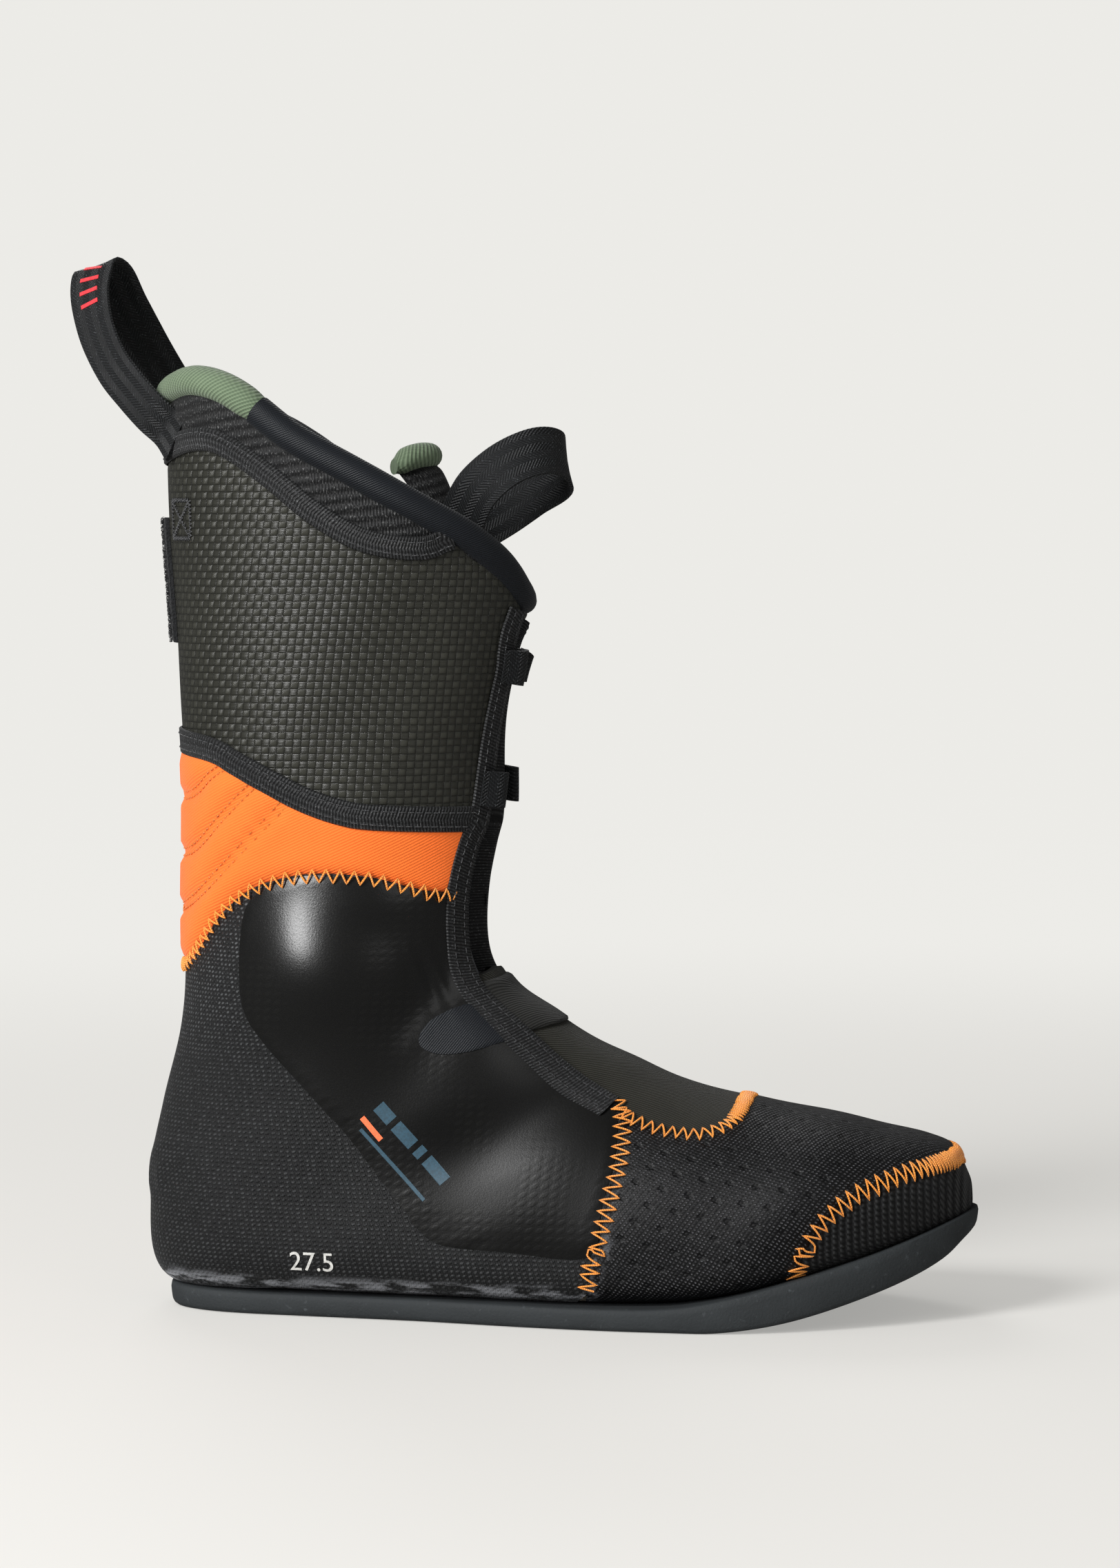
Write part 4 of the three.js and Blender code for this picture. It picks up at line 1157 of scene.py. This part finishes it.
# Binding tapes folded over the throat's edges.
THROAT_TAPE = 9.0
WRAP = [(-THROAT_TAPE, 0.3), (-THROAT_TAPE + 0.2, 1.1), (-7.4, 1.55), (-4.6, 1.45), (-1.8, 1.6),
        (0.2, 1.35), (1.2, 0.2), (1.5, -2.0), (1.5, -6.0), (1.1, -8.6), (-0.2, -9.8), (-2.5, -10.3),
        (-6.5, -10.2), (-6.5, -9.7), (-2.5, -9.7), (-0.6, -9.2), (0.4, -8.0), (0.6, -4.0), (0.4, -0.6),
        (-0.5, 0.25)]
throat_foot_to_roll = on_skin(throat_line(on_seam(COLLAR, [0.07], 13.0)[0, 0]), 1.6)
for side, line, flip in on_each_side(throat_foot_to_roll):
    made(f"throat_tape_{side}_grosgrain", "grosgrain", [strip(line, WRAP, flip)], "ankle", "grosgrain",
         [f"throat_tape_cuff_{side}", f"throat_tape_foot_{side}"])
    rows = Mould()
    for aside in (-2.2, -6.6):
        stitched(rows, line, 1.55, aside=flip * aside)
    mount(rows.make(f"throat_tape_{side}_stitches", LOOKS["black_thread"]), "ankle")

# Lace loops, which stand off the throat tapes.
LACE_LOOP = [(-7.0, 1.7), (-5.6, 2.2), (-3.6, 3.6), (-1.6, 5.2), (0.3, 5.6), (1.5, 4.7), (1.2, 3.2),
             (0.2, 2.0)]
LACE_WEB = 12.0
LACE_HEIGHTS = {"upper": 223.0, "lower": 181.0}


def thick(path, thickness):
    """The closed outline of a flat path of (across, out) points."""
    line = catmull(path, 4)
    tangent = tangents(line)
    side = np.stack([-tangent[:, 1], tangent[:, 0]], 1)
    return np.concatenate([line + side * thickness / 2, (line - side * thickness / 2)[::-1]])


heights = skin(*throat_foot_to_roll.T)[:, 2]
for level, height in LACE_HEIGHTS.items():
    span = np.linspace(height + LACE_WEB / 2, height - LACE_WEB / 2, 9)
    middle = along(throat_foot_to_roll, -heights, -span)
    for side, line, flip in on_each_side(middle):
        made(f"lace_loop_{level}_{side}_web", "webbing", [strip(line, thick(LACE_LOOP, 1.3), flip)], "cuff",
             "webbing", [f"lace_loop_{level}_{side}"])

# Padded rolls along the collar.
PAD_TURN = locate([(47, 308)])[0, 1]  # where the thick rear roll meets the slimmer side rolls
INNER_PAD_TURN = 0.655
FRONT_TURN, INNER_FRONT_TURN = 0.03, 0.925
PAD_GAP = 0.0005


def oval(width, height, steps=20):
    angle = np.arange(steps) * 2 * np.pi / steps
    return np.stack([width / 2 * np.cos(angle), height / 2 * np.sin(angle)], 1)


def rolled(from_turn, to_turn, section, plump, ends, depth=SHELL / 2):
    """A padded roll on the collar's edge, slightly uneven. ends gives the size at each end."""
    turns = np.linspace(from_turn, to_turn, 2 + int(abs(to_turn - from_turn) * 260))
    line = on_skin(on_seam(COLLAR, turns), 2.0)
    centres = skin(*line.T, -depth)
    outs = normals(*line.T)
    across = unit(np.cross(tangents(centres), outs))
    run = lengths(centres)
    size = 1 + plump * (np.sin(run / 9.0) * 0.6 + np.sin(run / 4.1 + 1) * 0.4)
    for full, gone in zip(ends, (run, run[-1] - run)):
        size *= full + (1 - full) * smooth(0, 7, gone) ** 0.5
    return carried(centres, across, outs, section, size)


rear_roll = rolled(PAD_TURN, INNER_PAD_TURN, oval(10.6, 12.6), 0.02, (0.84, 0.84))
collar_pad = made("collar_pad_roll", "green_twill", [rear_roll], "cuff", "green_twill", ["collar_pad"])
side_rolls = {"lateral": (FRONT_TURN, PAD_TURN - PAD_GAP, (0.8, 1.0)),
              "medial": (INNER_PAD_TURN + PAD_GAP, INNER_FRONT_TURN, (1.0, 0.5))}
for side, (start, end, sizes) in side_rolls.items():
    side_roll = rolled(start, end, oval(10.6, 10.2), 0.015, sizes, 2.5)
    binding = made(f"collar_binding_{side}_roll", "navy_twill", [side_roll], "cuff", "navy_twill",
                   [f"collar_binding_{side}"])

# Tongue.
TONGUE_POINTS = 14


def tongue_pad(stations, bulge=0.0):
    """A pad across the throat: stations of face x, z, lean, half width, sweep of the edges, and thickness."""
    rows = catmull(stations, 8)
    x, z, lean, half, sweep, thickness = rows.T
    ahead = np.stack([np.cos(lean), 0 * lean, np.sin(lean)], 1)
    share = np.sin(np.linspace(-np.pi / 2, np.pi / 2, TONGUE_POINTS + 1))
    run = lengths(np.stack([x, z], 1))
    end = smooth(0, 3, np.minimum(run, run[-1] - run))
    face, back = [], []
    for s in share:
        middle = np.stack([x, s * half, z], 1) - ahead * (sweep * s * s)[:, None]
        crown = (1 - s ** 6) * (0.75 + 0.25 * end) * (1 + bulge * np.sin(run / 5.5) * (1 - s * s))
        face.append(middle - ahead * (thickness * 0.5 * (1 - crown))[:, None])
        back.append(middle - ahead * (thickness * (0.5 + 0.5 * crown))[:, None])
    rings = np.stack([*face, *back[::-1][1:-1]], 1)
    girth = lengths(rings[0])
    cloth = np.stack([np.repeat(girth[None], len(run), 0), np.repeat(run[:, None], len(girth), 1),
                      np.zeros((len(run), len(girth)))], -1)
    return rings, facing_out(rings, lofted(rings)), cloth


SHIN = [(101, 292, 0.16, 13.0, 9, 8), (104.5, 285, 0.16, 13.0, 7, 8), (109, 272, 0.12, 12.9, 5, 8),
        (113, 250, 0.10, 12.9, 4, 8), (115.5, 225, 0.08, 12.8, 3, 8), (117, 200, 0.05, 12.8, 3, 8),
        (115.5, 171, 0.05, 12.8, 3, 8)]
FLEX_PANEL = [(115, 170.2, 0.05, 12.9, 3, 7), (112.5, 158, -0.05, 14.2, 3, 7), (110.5, 145.6, 0, 15.5, 3, 7)]
INSTEP_PAD = [(110.5, 145.2, 0, 15.5, 3, 8), (110.5, 132, 0.15, 15.5, 3, 8), (113.5, 118, 0.5, 15.5, 3, 8),
              (122, 105, 0.85, 15.5, 3, 8), (137, 93.5, 1.0, 15.5, 3, 8), (154, 83.5, 1.1, 15.5, 3, 8),
              (172, 76, 1.15, 15.5, 3, 7)]
shin_pad = made("tongue_shin_pad_knit", "collar_knit", [tongue_pad(SHIN, 0.03)], "tongue", "dull_knit",
                ["tongue_shin_pad"])
tongue_flex = made("tongue_flex_panel_stretch", "lining_cloth", [tongue_pad(FLEX_PANEL)], "ankle",
                   "stretch_weave", ["tongue_flex_panel"])
instep_pad = made("tongue_instep_pad_cloth", "lining_cloth", [tongue_pad(INSTEP_PAD)], "foot", "lining_cloth",
                  ["tongue_instep_pad"])


def tongue_roll():
    """The green binding over the tongue's curved top edge."""
    share = np.linspace(-1, 1, 41)
    centres = np.stack([97.5 - 9.5 * share ** 2, 13.6 * share, 294.5 - 4.0 * share ** 4], 1)
    outs = np.tile((0.0, 0.0, 1.0), (len(centres), 1))
    across = unit(np.cross(tangents(centres), outs))
    size = 0.6 + 0.4 * smooth(0, 0.16, 1 - np.abs(share))
    return carried(centres, across, outs, oval(9.8, 9.0), size)


tongue_top = made("tongue_top_roll", "green_twill", [tongue_roll()], "tongue", "green_twill",
                  ["tongue_top_binding"])

# Webbing pull loops.
WEB_HALF = [(-1.0, 0.35), (-0.97, 0.9), (-0.5, 1.0), (0.0, 1.0), (0.5, 1.0), (0.97, 0.9), (1.0, 0.35)]
WEB_EDGE = np.array([*WEB_HALF, *((-across, -out) for across, out in WEB_HALF)])


def web_stations(route, lays):
    """Stations through points, each with directions across and out. The lays are spread over the length."""
    path = resampled(catmull(route, 12), 1.6)
    fine_lays = catmull(lays, 12)
    lay = along(fine_lays, np.linspace(0, 1, len(fine_lays)), np.linspace(0, 1, len(path)))
    tangent = tangents(path)
    lay = unit(lay - tangent * (lay * tangent).sum(1, keepdims=True))
    return path, lay, np.cross(tangent, lay)


def on_cuff(x, z, offset):
    """A point over the outer side of the cuff."""
    return place(*locate([(x, z)]).T, offset)[0]


rear_root = [on_cuff(17, 299, 0.8), on_cuff(13, 303.5, 1.6)]
rear_far_root = settled(np.array(rear_root[::-1]) * (1, -1, 1))
REAR_LOOP = [*rear_root, (6, -27, 309), (-2, -23, 317), (-10, -17, 326), (-16.5, -11.5, 338),
             (-20, -6, 351), (-19.5, -0.5, 359.5), (-15.5, 5, 357.5), (-11.5, 10, 347), (-6, 15.5, 335),
             (0, 21, 323), (6, 27, 311), *rear_far_root]
REAR_LAYS = [(0.6, -0.5, 0.7), (0.6, -0.5, 0.7), (0.75, -0.5, 0.4), (0.85, -0.35, 0.2), (0.9, 0.1, 0.3),
             (0.8, 0.5, 0.2), (0.7, 0.5, 0.4), (0.6, 0.5, 0.7)]
FRONT_LOOP = [(111.5, -11, 273.5), (117, -14, 283), (127, -14, 291.5), (138, -9.5, 296), (144.5, 0, 294.5),
              (143, 9, 288), (132, 14, 281.5), (122, 14, 275), (114, 11, 270)]
FRONT_LAYS = [(-0.7, 0, 0.7), (-0.5, 0.2, 0.85), (-0.15, 0, 0.98), (-0.3, 0.2, 0.9), (-0.6, 0, 0.8)]
WEB_WIDTH, WEB_THICK = 16.5, 1.5
path, lay, out = web_stations(REAR_LOOP, REAR_LAYS)
near_tip = np.flatnonzero((path[:, 1] < -1) & (path[:, 2] > 345))[::3]
stripe = np.array([(-3.8, 0.5), (3.8, 0.5), (3.8, 1.0), (-3.8, 1.0)])
stripes = []
for i in near_tip:
    facing = np.sign(((path[i] - path.mean(0)) * out[i]).sum())
    here = path[i] + (path[i + 1] - path[i]) * np.linspace(0, 0.9, 3)[:, None]
    stripes.append(carried(here, np.tile(lay[i], (3, 1)), np.tile(out[i] * facing, (3, 1)), stripe))
made("rear_pull_loop_stripes", "red_weave", stripes, "rear_loop")
pull_loops = {  # CAD node, route, lays, the body that it is sewn on, and where the bend starts and ends
    "rear": ("rear_pull_loop", REAR_LOOP, REAR_LAYS, "cuff", (-0.079, 0, 0.305), (-0.094, 0, 0.318)),
    "front": ("tongue_pull_loop", FRONT_LOOP, FRONT_LAYS, "tongue", (0.022, 0, 0.271), (0.031, 0, 0.280)),
}
for end, (node, route, lays, body, start, finish) in pull_loops.items():
    mould = Mould()
    mould.add(*carried(*web_stations(route, lays), WEB_EDGE * (WEB_WIDTH / 2, WEB_THICK / 2)))
    loop = mould.make(f"{node}_web", LOOKS["webbing"])
    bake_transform(loop)
    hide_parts(node)

# Stretch panel and strap across the instep.
PANEL_START = 5.55  # positions down the throat
STRAP_START, STRAP_END = 5.72, 7.2


def over_the_instep(low, high, end):
    """The outer half of an outline across the instep, out to the throat's edge and on to the end."""
    return joined(np.array([[low, 0.0]]), throat_line(low, high) + (0, UNDER_TAPE), end)


panel_half = over_the_instep(PANEL_START, LAST, instep_seam)
instep = panel(both_sides(panel_half, 0.0), cloth_toe, -0.5, -3.6, spacing=1.8, edge=1.2, tuck=0.3)
made("instep_panel_stretch", "stretch_weave", [instep], "foot", "stretch_weave", ["instep_panel"])
strap_half = over_the_instep(STRAP_START, STRAP_END, np.array([[STRAP_END, 0.0]]))
strap = panel(both_sides(strap_half, 0.0), cloth_toe, 1.0, -0.4, spacing=1.6, edge=1.4, tuck=0.7)
made("instep_strap_band", "strap_weave", [strap], "foot", "stretch_weave", ["instep_strap"])

# Tabs where the strap meets the film.
TAB = [(110, 106.5), (104, 103), (100.5, 98), (101, 94), (107, 91.5), (116, 92), (124, 94), (131, 97),
       (124, 104), (117, 108)]
tab_outline = locate(catmull([*TAB, TAB[0]], 5)[:-1])
for side, outline, _ in on_each_side(tab_outline):
    tab = panel(outline, cloth_heel, 1.1, 0.45, spacing=1.3, edge=1.0, tuck=0.35)
    made(f"ankle_tab_{side}_knit", "navy_twill", [tab], "foot", "dull_knit", [f"ankle_tab_{side}"])

# Zigzag seams.


def steady(run):
    return lambda share: run


def denser(from_share, loose, tight):
    """A pitch that closes up after a share of the seam."""
    return lambda share: loose + (tight - loose) * float(smooth(from_share - 0.12, from_share + 0.08, share))


def around_middle(loose, tight, reach=0.13):
    """A pitch that closes up at the middle of the seam."""
    return lambda share: loose - (loose - tight) * math.exp(-((share - 0.5) / reach) ** 2)


FOOT_SEAMS = [  # seam, turn of its mirror plane, width, pitch and lift
    (side_seam, 0.5, 6.2, steady(3.9), 0.6),
    (instep_seam[3:], 0.0, 5.0, denser(0.62, 3.8, 1.5), 0.45),
    (bumper_seam, 0.0, 6.6, denser(0.66, 3.9, 1.7), 0.3),
]
zigzags = Mould()
for inner in (False, True):
    for seam, about, width, pitch, lift in FOOT_SEAMS:
        line = on_skin(seam, 1.0)
        zigzag(zigzags, mirrored(line, about) if inner else line, width, pitch, lift)
mount(zigzags.make("foot_zigzag_seams", LOOKS["orange_thread"]), "foot")
flex_zigzag = Mould()
flex_run = round_the_leg(on_seam(FLEX, flex_edge[:, 1], 0.6), 5.0)
zigzag(flex_zigzag, on_skin(flex_run, 1.0), 4.6, around_middle(4.6, 2.3), 1.1)
mount(flex_zigzag.make("flex_zone_zigzag_seam", LOOKS["orange_thread"]), "ankle")

# Quilting stitches, in pairs, right round the rear.
quilting = Mould()
for line in QUILTS:
    points = catmull(line[:-1], 8)
    rear_turns = np.linspace(0.475, 0.5, 4)
    level = [(-60, points[-1, 1]), (200, points[-1, 1])]
    half = joined(locate(points), on_seam(level, rear_turns, low=2.0))
    half = half[half[:, 1] > 0.05]
    whole = np.concatenate([half, mirrored(half)[::-1][1:]])
    for aside in (-1.3, 1.3):
        stitched(quilting, on_skin(whole, 1.2), 0.35, length=1.7, gap=0.8, radius=0.3, aside=aside)
mount(quilting.make("flex_zone_quilting", LOOKS["orange_stitch"]), "ankle")

# Bar-tacked boxes at the rear of the cuff.
tacks = Mould()
BOX = [(14, 266), (14, 279), (22, 279), (22, 266)]
TACK_ROUTES = [[*BOX, BOX[0]], [BOX[0], BOX[2]], [BOX[1], BOX[3]]]
for route in TACK_ROUTES:
    for _, line, _ in on_each_side(locate(resampled(np.array(route, float), 1.0))):
        zigzag(tacks, line, 1.3, steady(1.3), 0.35, radius=0.2)
mount(tacks.make("cuff_bar_tacks", LOOKS["black_thread"]), "cuff")

# Hook-and-loop patch on the back of the cuff, with its pile.
PATCH_HALF, PATCH_LOW, PATCH_HIGH = 13.0, 230.0, 273.0
CUFF_GIRTH = 330
PILE_LOOPS = 1500
patch_turns = np.linspace(0.5 - PATCH_HALF / CUFF_GIRTH, 0.5, 8)
patch_top = on_seam([(-60, PATCH_HIGH), (200, PATCH_HIGH)], patch_turns)
patch_bottom = on_seam([(-60, PATCH_LOW), (200, PATCH_LOW)], patch_turns)
patch_half = np.concatenate([patch_top[::-1], patch_bottom])
patch = panel(both_sides(patch_half), cloth_round, 2.4, 0.1, spacing=1.4, edge=1.0, tuck=0.9)
made("strap_patch_base", "hook_and_loop", [patch], "cuff", "hook_and_loop", ["strap_patch"])
pile = Mould()
for _ in range(PILE_LOOPS):
    share, level = rng.uniform(-1, 1), rng.uniform(PATCH_LOW + 0.4, PATCH_HIGH - 0.4)
    turn = 0.5 + share * PATCH_HALF / CUFF_GIRTH
    position = np.interp(level, [PATCH_LOW, PATCH_HIGH], [patch_bottom[-1, 0], patch_top[-1, 0]])
    swing = rng.uniform(0, 2 * np.pi)
    angle = np.linspace(-0.6, math.pi + 0.6, 6)
    radius = rng.uniform(0.4, 0.75)
    spot = np.full(6, position), np.full(6, turn)
    root, out = place(*spot, 2.2), normals(*spot)
    way = np.array([0.0, math.cos(swing), math.sin(swing)])
    aside, up = np.cos(angle) * radius, (np.sin(angle) + 0.3) * radius
    pile.add(*tube(root + way * aside[:, None] + out * up[:, None], np.cross(way, out), 0.09, 3))
mount(pile.make("strap_patch_pile", LOOKS["hook_and_loop"]), "cuff")

# Outsole and footbed.
SOLE_PLAN = [(4, 0), (10, -21), (30, -33), (62, -38), (100, -42), (140, -48), (180, -51), (212, -49),
             (245, -38), (270, -22), (285, -4), (287, 12), (280, 30), (262, 47), (235, 57), (200, 57),
             (160, 50), (110, 43), (62, 38), (30, 33), (10, 21)]
plan = catmull([SOLE_PLAN[-1], *SOLE_PLAN, *SOLE_PLAN[:2]], 9)[9:-9]
plan = resampled(plan[:-1], 3.0, closed=True)
spine_x = np.clip(plan[:, 0], 24, 258)
spine = np.stack([spine_x, np.interp(spine_x, [24, 150, 258], [0, 1, 11])], 1)
HEEL_INSET = 3.2  # the outsole's edge stands back round the heel
FOOTBED_INSET = 9


def plate(profile):
    """A plate on the sole's plan: rings of (inset in mm, share of the way in to the spine, height by x)."""
    inward = spine - plan
    reach = np.linalg.norm(inward, axis=1, keepdims=True)
    heel_inset = HEEL_INSET * smooth(190, 60, plan[:, :1])
    rings = []
    for inset, share, height in profile:
        deeper = inset + heel_inset * (inset < FOOTBED_INSET)
        ring = plan + inward / reach * (deeper + (reach - deeper) * share)
        rings.append(np.column_stack([ring, height(ring[:, 0])]))
    rings = np.array(rings)
    return rings, facing_out(rings, lofted(rings)), rings


def between_faces(level, lift=0.0):
    return lambda x: height_of(GROUND, x) * (1 - level) + height_of(SOLE_TOP, x) * level + lift


def over_sole(lift):
    return lambda x: height_of(SOLE_TOP, x) + lift


sole_profile = [(3, 1.0, between_faces(0, 0.4)), (3, 0.6, between_faces(0, 0.4)),
                (3, 0.2, between_faces(0, 0.2)), (3.2, 0, between_faces(0)),
                (1.9, 0, between_faces(0, 0.25)), (0.9, 0, between_faces(0, 0.9)),
                (0.3, 0, between_faces(0, 2.0)), (0, 0, between_faces(0.5)), (-0.2, 0, between_faces(0.75)),
                (0.1, 0, between_faces(1, -0.5)), (0.7, 0, between_faces(1)),
                (2.2, 0, between_faces(1, 0.15)), (5, 0, between_faces(1, 0.1)),
                (5, 1.0, between_faces(1, 0.1))]
made("outsole_foam", "sole_foam", [plate(sole_profile)], "foot", "sole_foam", ["outsole"], sharp=50)
footbed_profile = [(10, 1.0, over_sole(3.2)), (12, 0, over_sole(3.2)), (10.4, 0, over_sole(4.2)),
                   (9.8, 0, over_sole(7.5)), (10.4, 0, over_sole(9.6)), (11.6, 0, over_sole(9.4)),
                   (15, 0, over_sole(7.4)), (20, 0, over_sole(6.7)), (10, 0.6, over_sole(6.4)),
                   (10, 1.0, over_sole(6.4))]
made("footbed_cloth", "lining_cloth", [plate(footbed_profile)], "foot", "lining_cloth", ["footbed"])

# Prints: a size in generic numerals, and plain bars.


def numerals(text, corner, height, lift=0.4):
    """Flat figures printed on the outer side of the foot, as thin closed bodies."""
    curve = bpy.data.curves.new("figures", "FONT")
    curve.body, curve.size = text, height * 1.42
    holder = bpy.data.objects.new("figures", curve)
    bpy.context.scene.collection.objects.link(holder)
    flat = bpy.data.meshes.new_from_object(holder.evaluated_get(bpy.context.evaluated_depsgraph_get()))
    spots = np.array([v.co[:2] for v in flat.vertices]) + corner
    flat.calc_loop_triangles()
    faces = [tuple(triangle.vertices) for triangle in flat.loop_triangles]
    bpy.data.objects.remove(holder)
    position, turn = locate(spots).T
    return slab(place(position, turn, lift), place(position, turn, -0.3), faces,
                np.column_stack([spots, np.zeros(len(spots))]))


made("size_numerals", "white_print", [numerals("27.5", (56, 17.2), 6.6)], "foot", sharp=30)
BAR = tape_section(4.6, 0.38, 0.52, 5)
blue_route = np.array([(87, 74), (110, 49)], float)
blue_parts = []
for start, end in ((0.0, 0.2), (0.26, 0.52), (0.58, 0.66), (0.72, 1.0)):
    route = blue_route[0] + (blue_route[1] - blue_route[0]) * np.linspace(start, end, 8)[:, None]
    blue_parts.append(strip(locate(route), BAR))
thin_route = np.array([(81, 66), (103, 42.5)], float)
thin_line = thin_route[0] + (thin_route[1] - thin_route[0]) * np.linspace(0, 1, 16)[:, None]
blue_parts.append(strip(locate(thin_line), tape_section(1.3, 0.38, 0.52, 3)))
made("film_print_blue", "blue_print", blue_parts, "foot")
orange_route = np.linspace((81.5, 70), (88, 62.5), 8)
orange_bar = strip(locate(orange_route), tape_section(1.9, 0.38, 0.55, 3))
made("film_print_orange", "orange_print", [orange_bar], "foot")

# CAD parts that stay as they are, inside the foot.
kept = {"lasting_board": "board", "ankle_pad_lateral": "pad_foam", "ankle_pad_medial": "pad_foam"}
for node, look in kept.items():
    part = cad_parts[node]
    part.data.materials.clear()
    part.data.materials.append(LOOKS[look])

# ----------------------------------------------------------------------------------- floor, light, camera

FLOOR_REACH = 3.0
BACKDROP_HEIGHT = 2.6
PAPER = rgb(236, 235, 231)
FLOOR_PAPER = rgb(221, 219, 215)  # under the lights, next to the liner


def studio():
    """A pale floor that rises into a round backdrop, seen only by the camera where it stands up."""
    rim = [(r, 0.0) for r in (0.3, 0.8, 1.4, 2.0, 2.4)]
    curve = [(2.4 + 0.6 * math.sin(a), 0.6 - 0.6 * math.cos(a)) for a in np.linspace(0.15, math.pi / 2, 10)]
    wall = [(FLOOR_REACH, h) for h in np.linspace(0.8, BACKDROP_HEIGHT, 4)]
    centre = Vector(((cad_box[0].x + cad_box[1].x) / 2, 0.0, 0.0))
    pale = Look("studio_paper", 0.95, Specular_IOR_Level=0.1)
    spot = pale.node("ShaderNodeVectorMath", operation="DISTANCE")
    pale.tree.links.new(pale.node("ShaderNodeTexCoord").outputs["Object"], spot.inputs[0])
    spot.inputs[1].default_value = centre
    far = Field(pale, spot.outputs["Value"]).smooth(0.35, 1.5)
    glow = far * 0.58 + 0.42
    pale.colour(pale.mix(glow, FLOOR_PAPER, (0.0, 0.0, 0.0, 1.0)))
    pale.put(pale.shader.inputs["Emission Strength"], glow)
    pale.shader.inputs["Emission Color"].default_value = PAPER
    for name, profile in (("floor", rim), ("backdrop", [rim[-1], *curve, *wall])):
        points, faces, count = [], [], 96
        if name == "floor":
            points.append(tuple(centre))
            faces += [(0, 1 + i, 1 + (i + 1) % count) for i in range(count)]
        base = len(points)
        for radius, height in profile:
            points += [(centre.x + radius * math.cos(2 * math.pi * i / count),
                        radius * math.sin(2 * math.pi * i / count), height) for i in range(count)]
        for r in range(len(profile) - 1):
            a, b = base + r * count, base + (r + 1) * count
            faces += [(a + i, b + i, b + (i + 1) % count, a + (i + 1) % count) for i in range(count)]
        mesh = bpy.data.meshes.new(name)
        mesh.from_pydata(points, [], faces)
        mesh.polygons.foreach_set("use_smooth", [True] * len(mesh.polygons))
        mesh.materials.append(pale.material)
        piece = bpy.data.objects.new(name, mesh)
        bpy.context.scene.collection.objects.link(piece)
        piece.visible_glossy = False
        if name == "backdrop":
            piece.visible_diffuse = piece.visible_shadow = False


def soft_light(name, place, aim, size, power, tint=(1, 1, 1)):
    light = bpy.data.lights.new(name, "AREA")
    light.shape, light.size, light.energy, light.color = "DISK", size, power, tint
    lamp = bpy.data.objects.new(name, light)
    lamp.location = place
    lamp.rotation_euler = (Vector(aim) - Vector(place)).to_track_quat("-Z", "Y").to_euler()
    bpy.context.scene.collection.objects.link(lamp)


studio()
MIDDLE = (0.05, 0.0, 0.15)
soft_light("key", (-1.0, -1.55, 1.5), MIDDLE, 0.8, 44)
soft_light("fill", (1.6, -1.6, 0.9), MIDDLE, 1.4, 2.5)
soft_light("gloss", (-1.01, -1.7, 0.68), MIDDLE, 0.72, 21)
soft_light("rim", (-0.6, 1.6, 1.4), MIDDLE, 1.0, 10)
world = bpy.data.worlds.new("world")
world.use_nodes = True
sky = world.node_tree.nodes["Background"]
sky.inputs[0].default_value = rgb(250, 249, 247)
rays = world.node_tree.nodes.new("ShaderNodeLightPath")
share = world.node_tree.nodes.new("ShaderNodeMapRange")  # dim in reflections, as in a dark studio
share.inputs["To Min"].default_value, share.inputs["To Max"].default_value = 0.34, 0.12
world.node_tree.links.new(rays.outputs["Is Glossy Ray"], share.inputs["Value"])
world.node_tree.links.new(share.outputs["Result"], sky.inputs[1])
bpy.context.scene.world = world
bpy.context.scene.view_settings.view_transform = "Standard"

CAMERA_TURN = math.radians(8)
CAMERA_REACH = 1.6
CAMERA_HEIGHT = 0.27
FIELD_HEIGHT = 0.5405  # of the photograph's frame, at the liner
aim = Vector((0.0535, 0.0, 0.1815))
camera = bpy.data.objects.new("camera", bpy.data.cameras.new("camera"))
camera.location = aim + Vector((CAMERA_REACH * math.sin(CAMERA_TURN), -CAMERA_REACH * math.cos(CAMERA_TURN),
                                CAMERA_HEIGHT - aim.z))
camera.rotation_euler = (aim - camera.location).to_track_quat("-Z", "Y").to_euler()
camera.data.sensor_width = 36
camera.data.lens = camera.data.sensor_width * (aim - camera.location).length / FIELD_HEIGHT
bpy.context.scene.collection.objects.link(camera)
bpy.context.scene.camera = camera
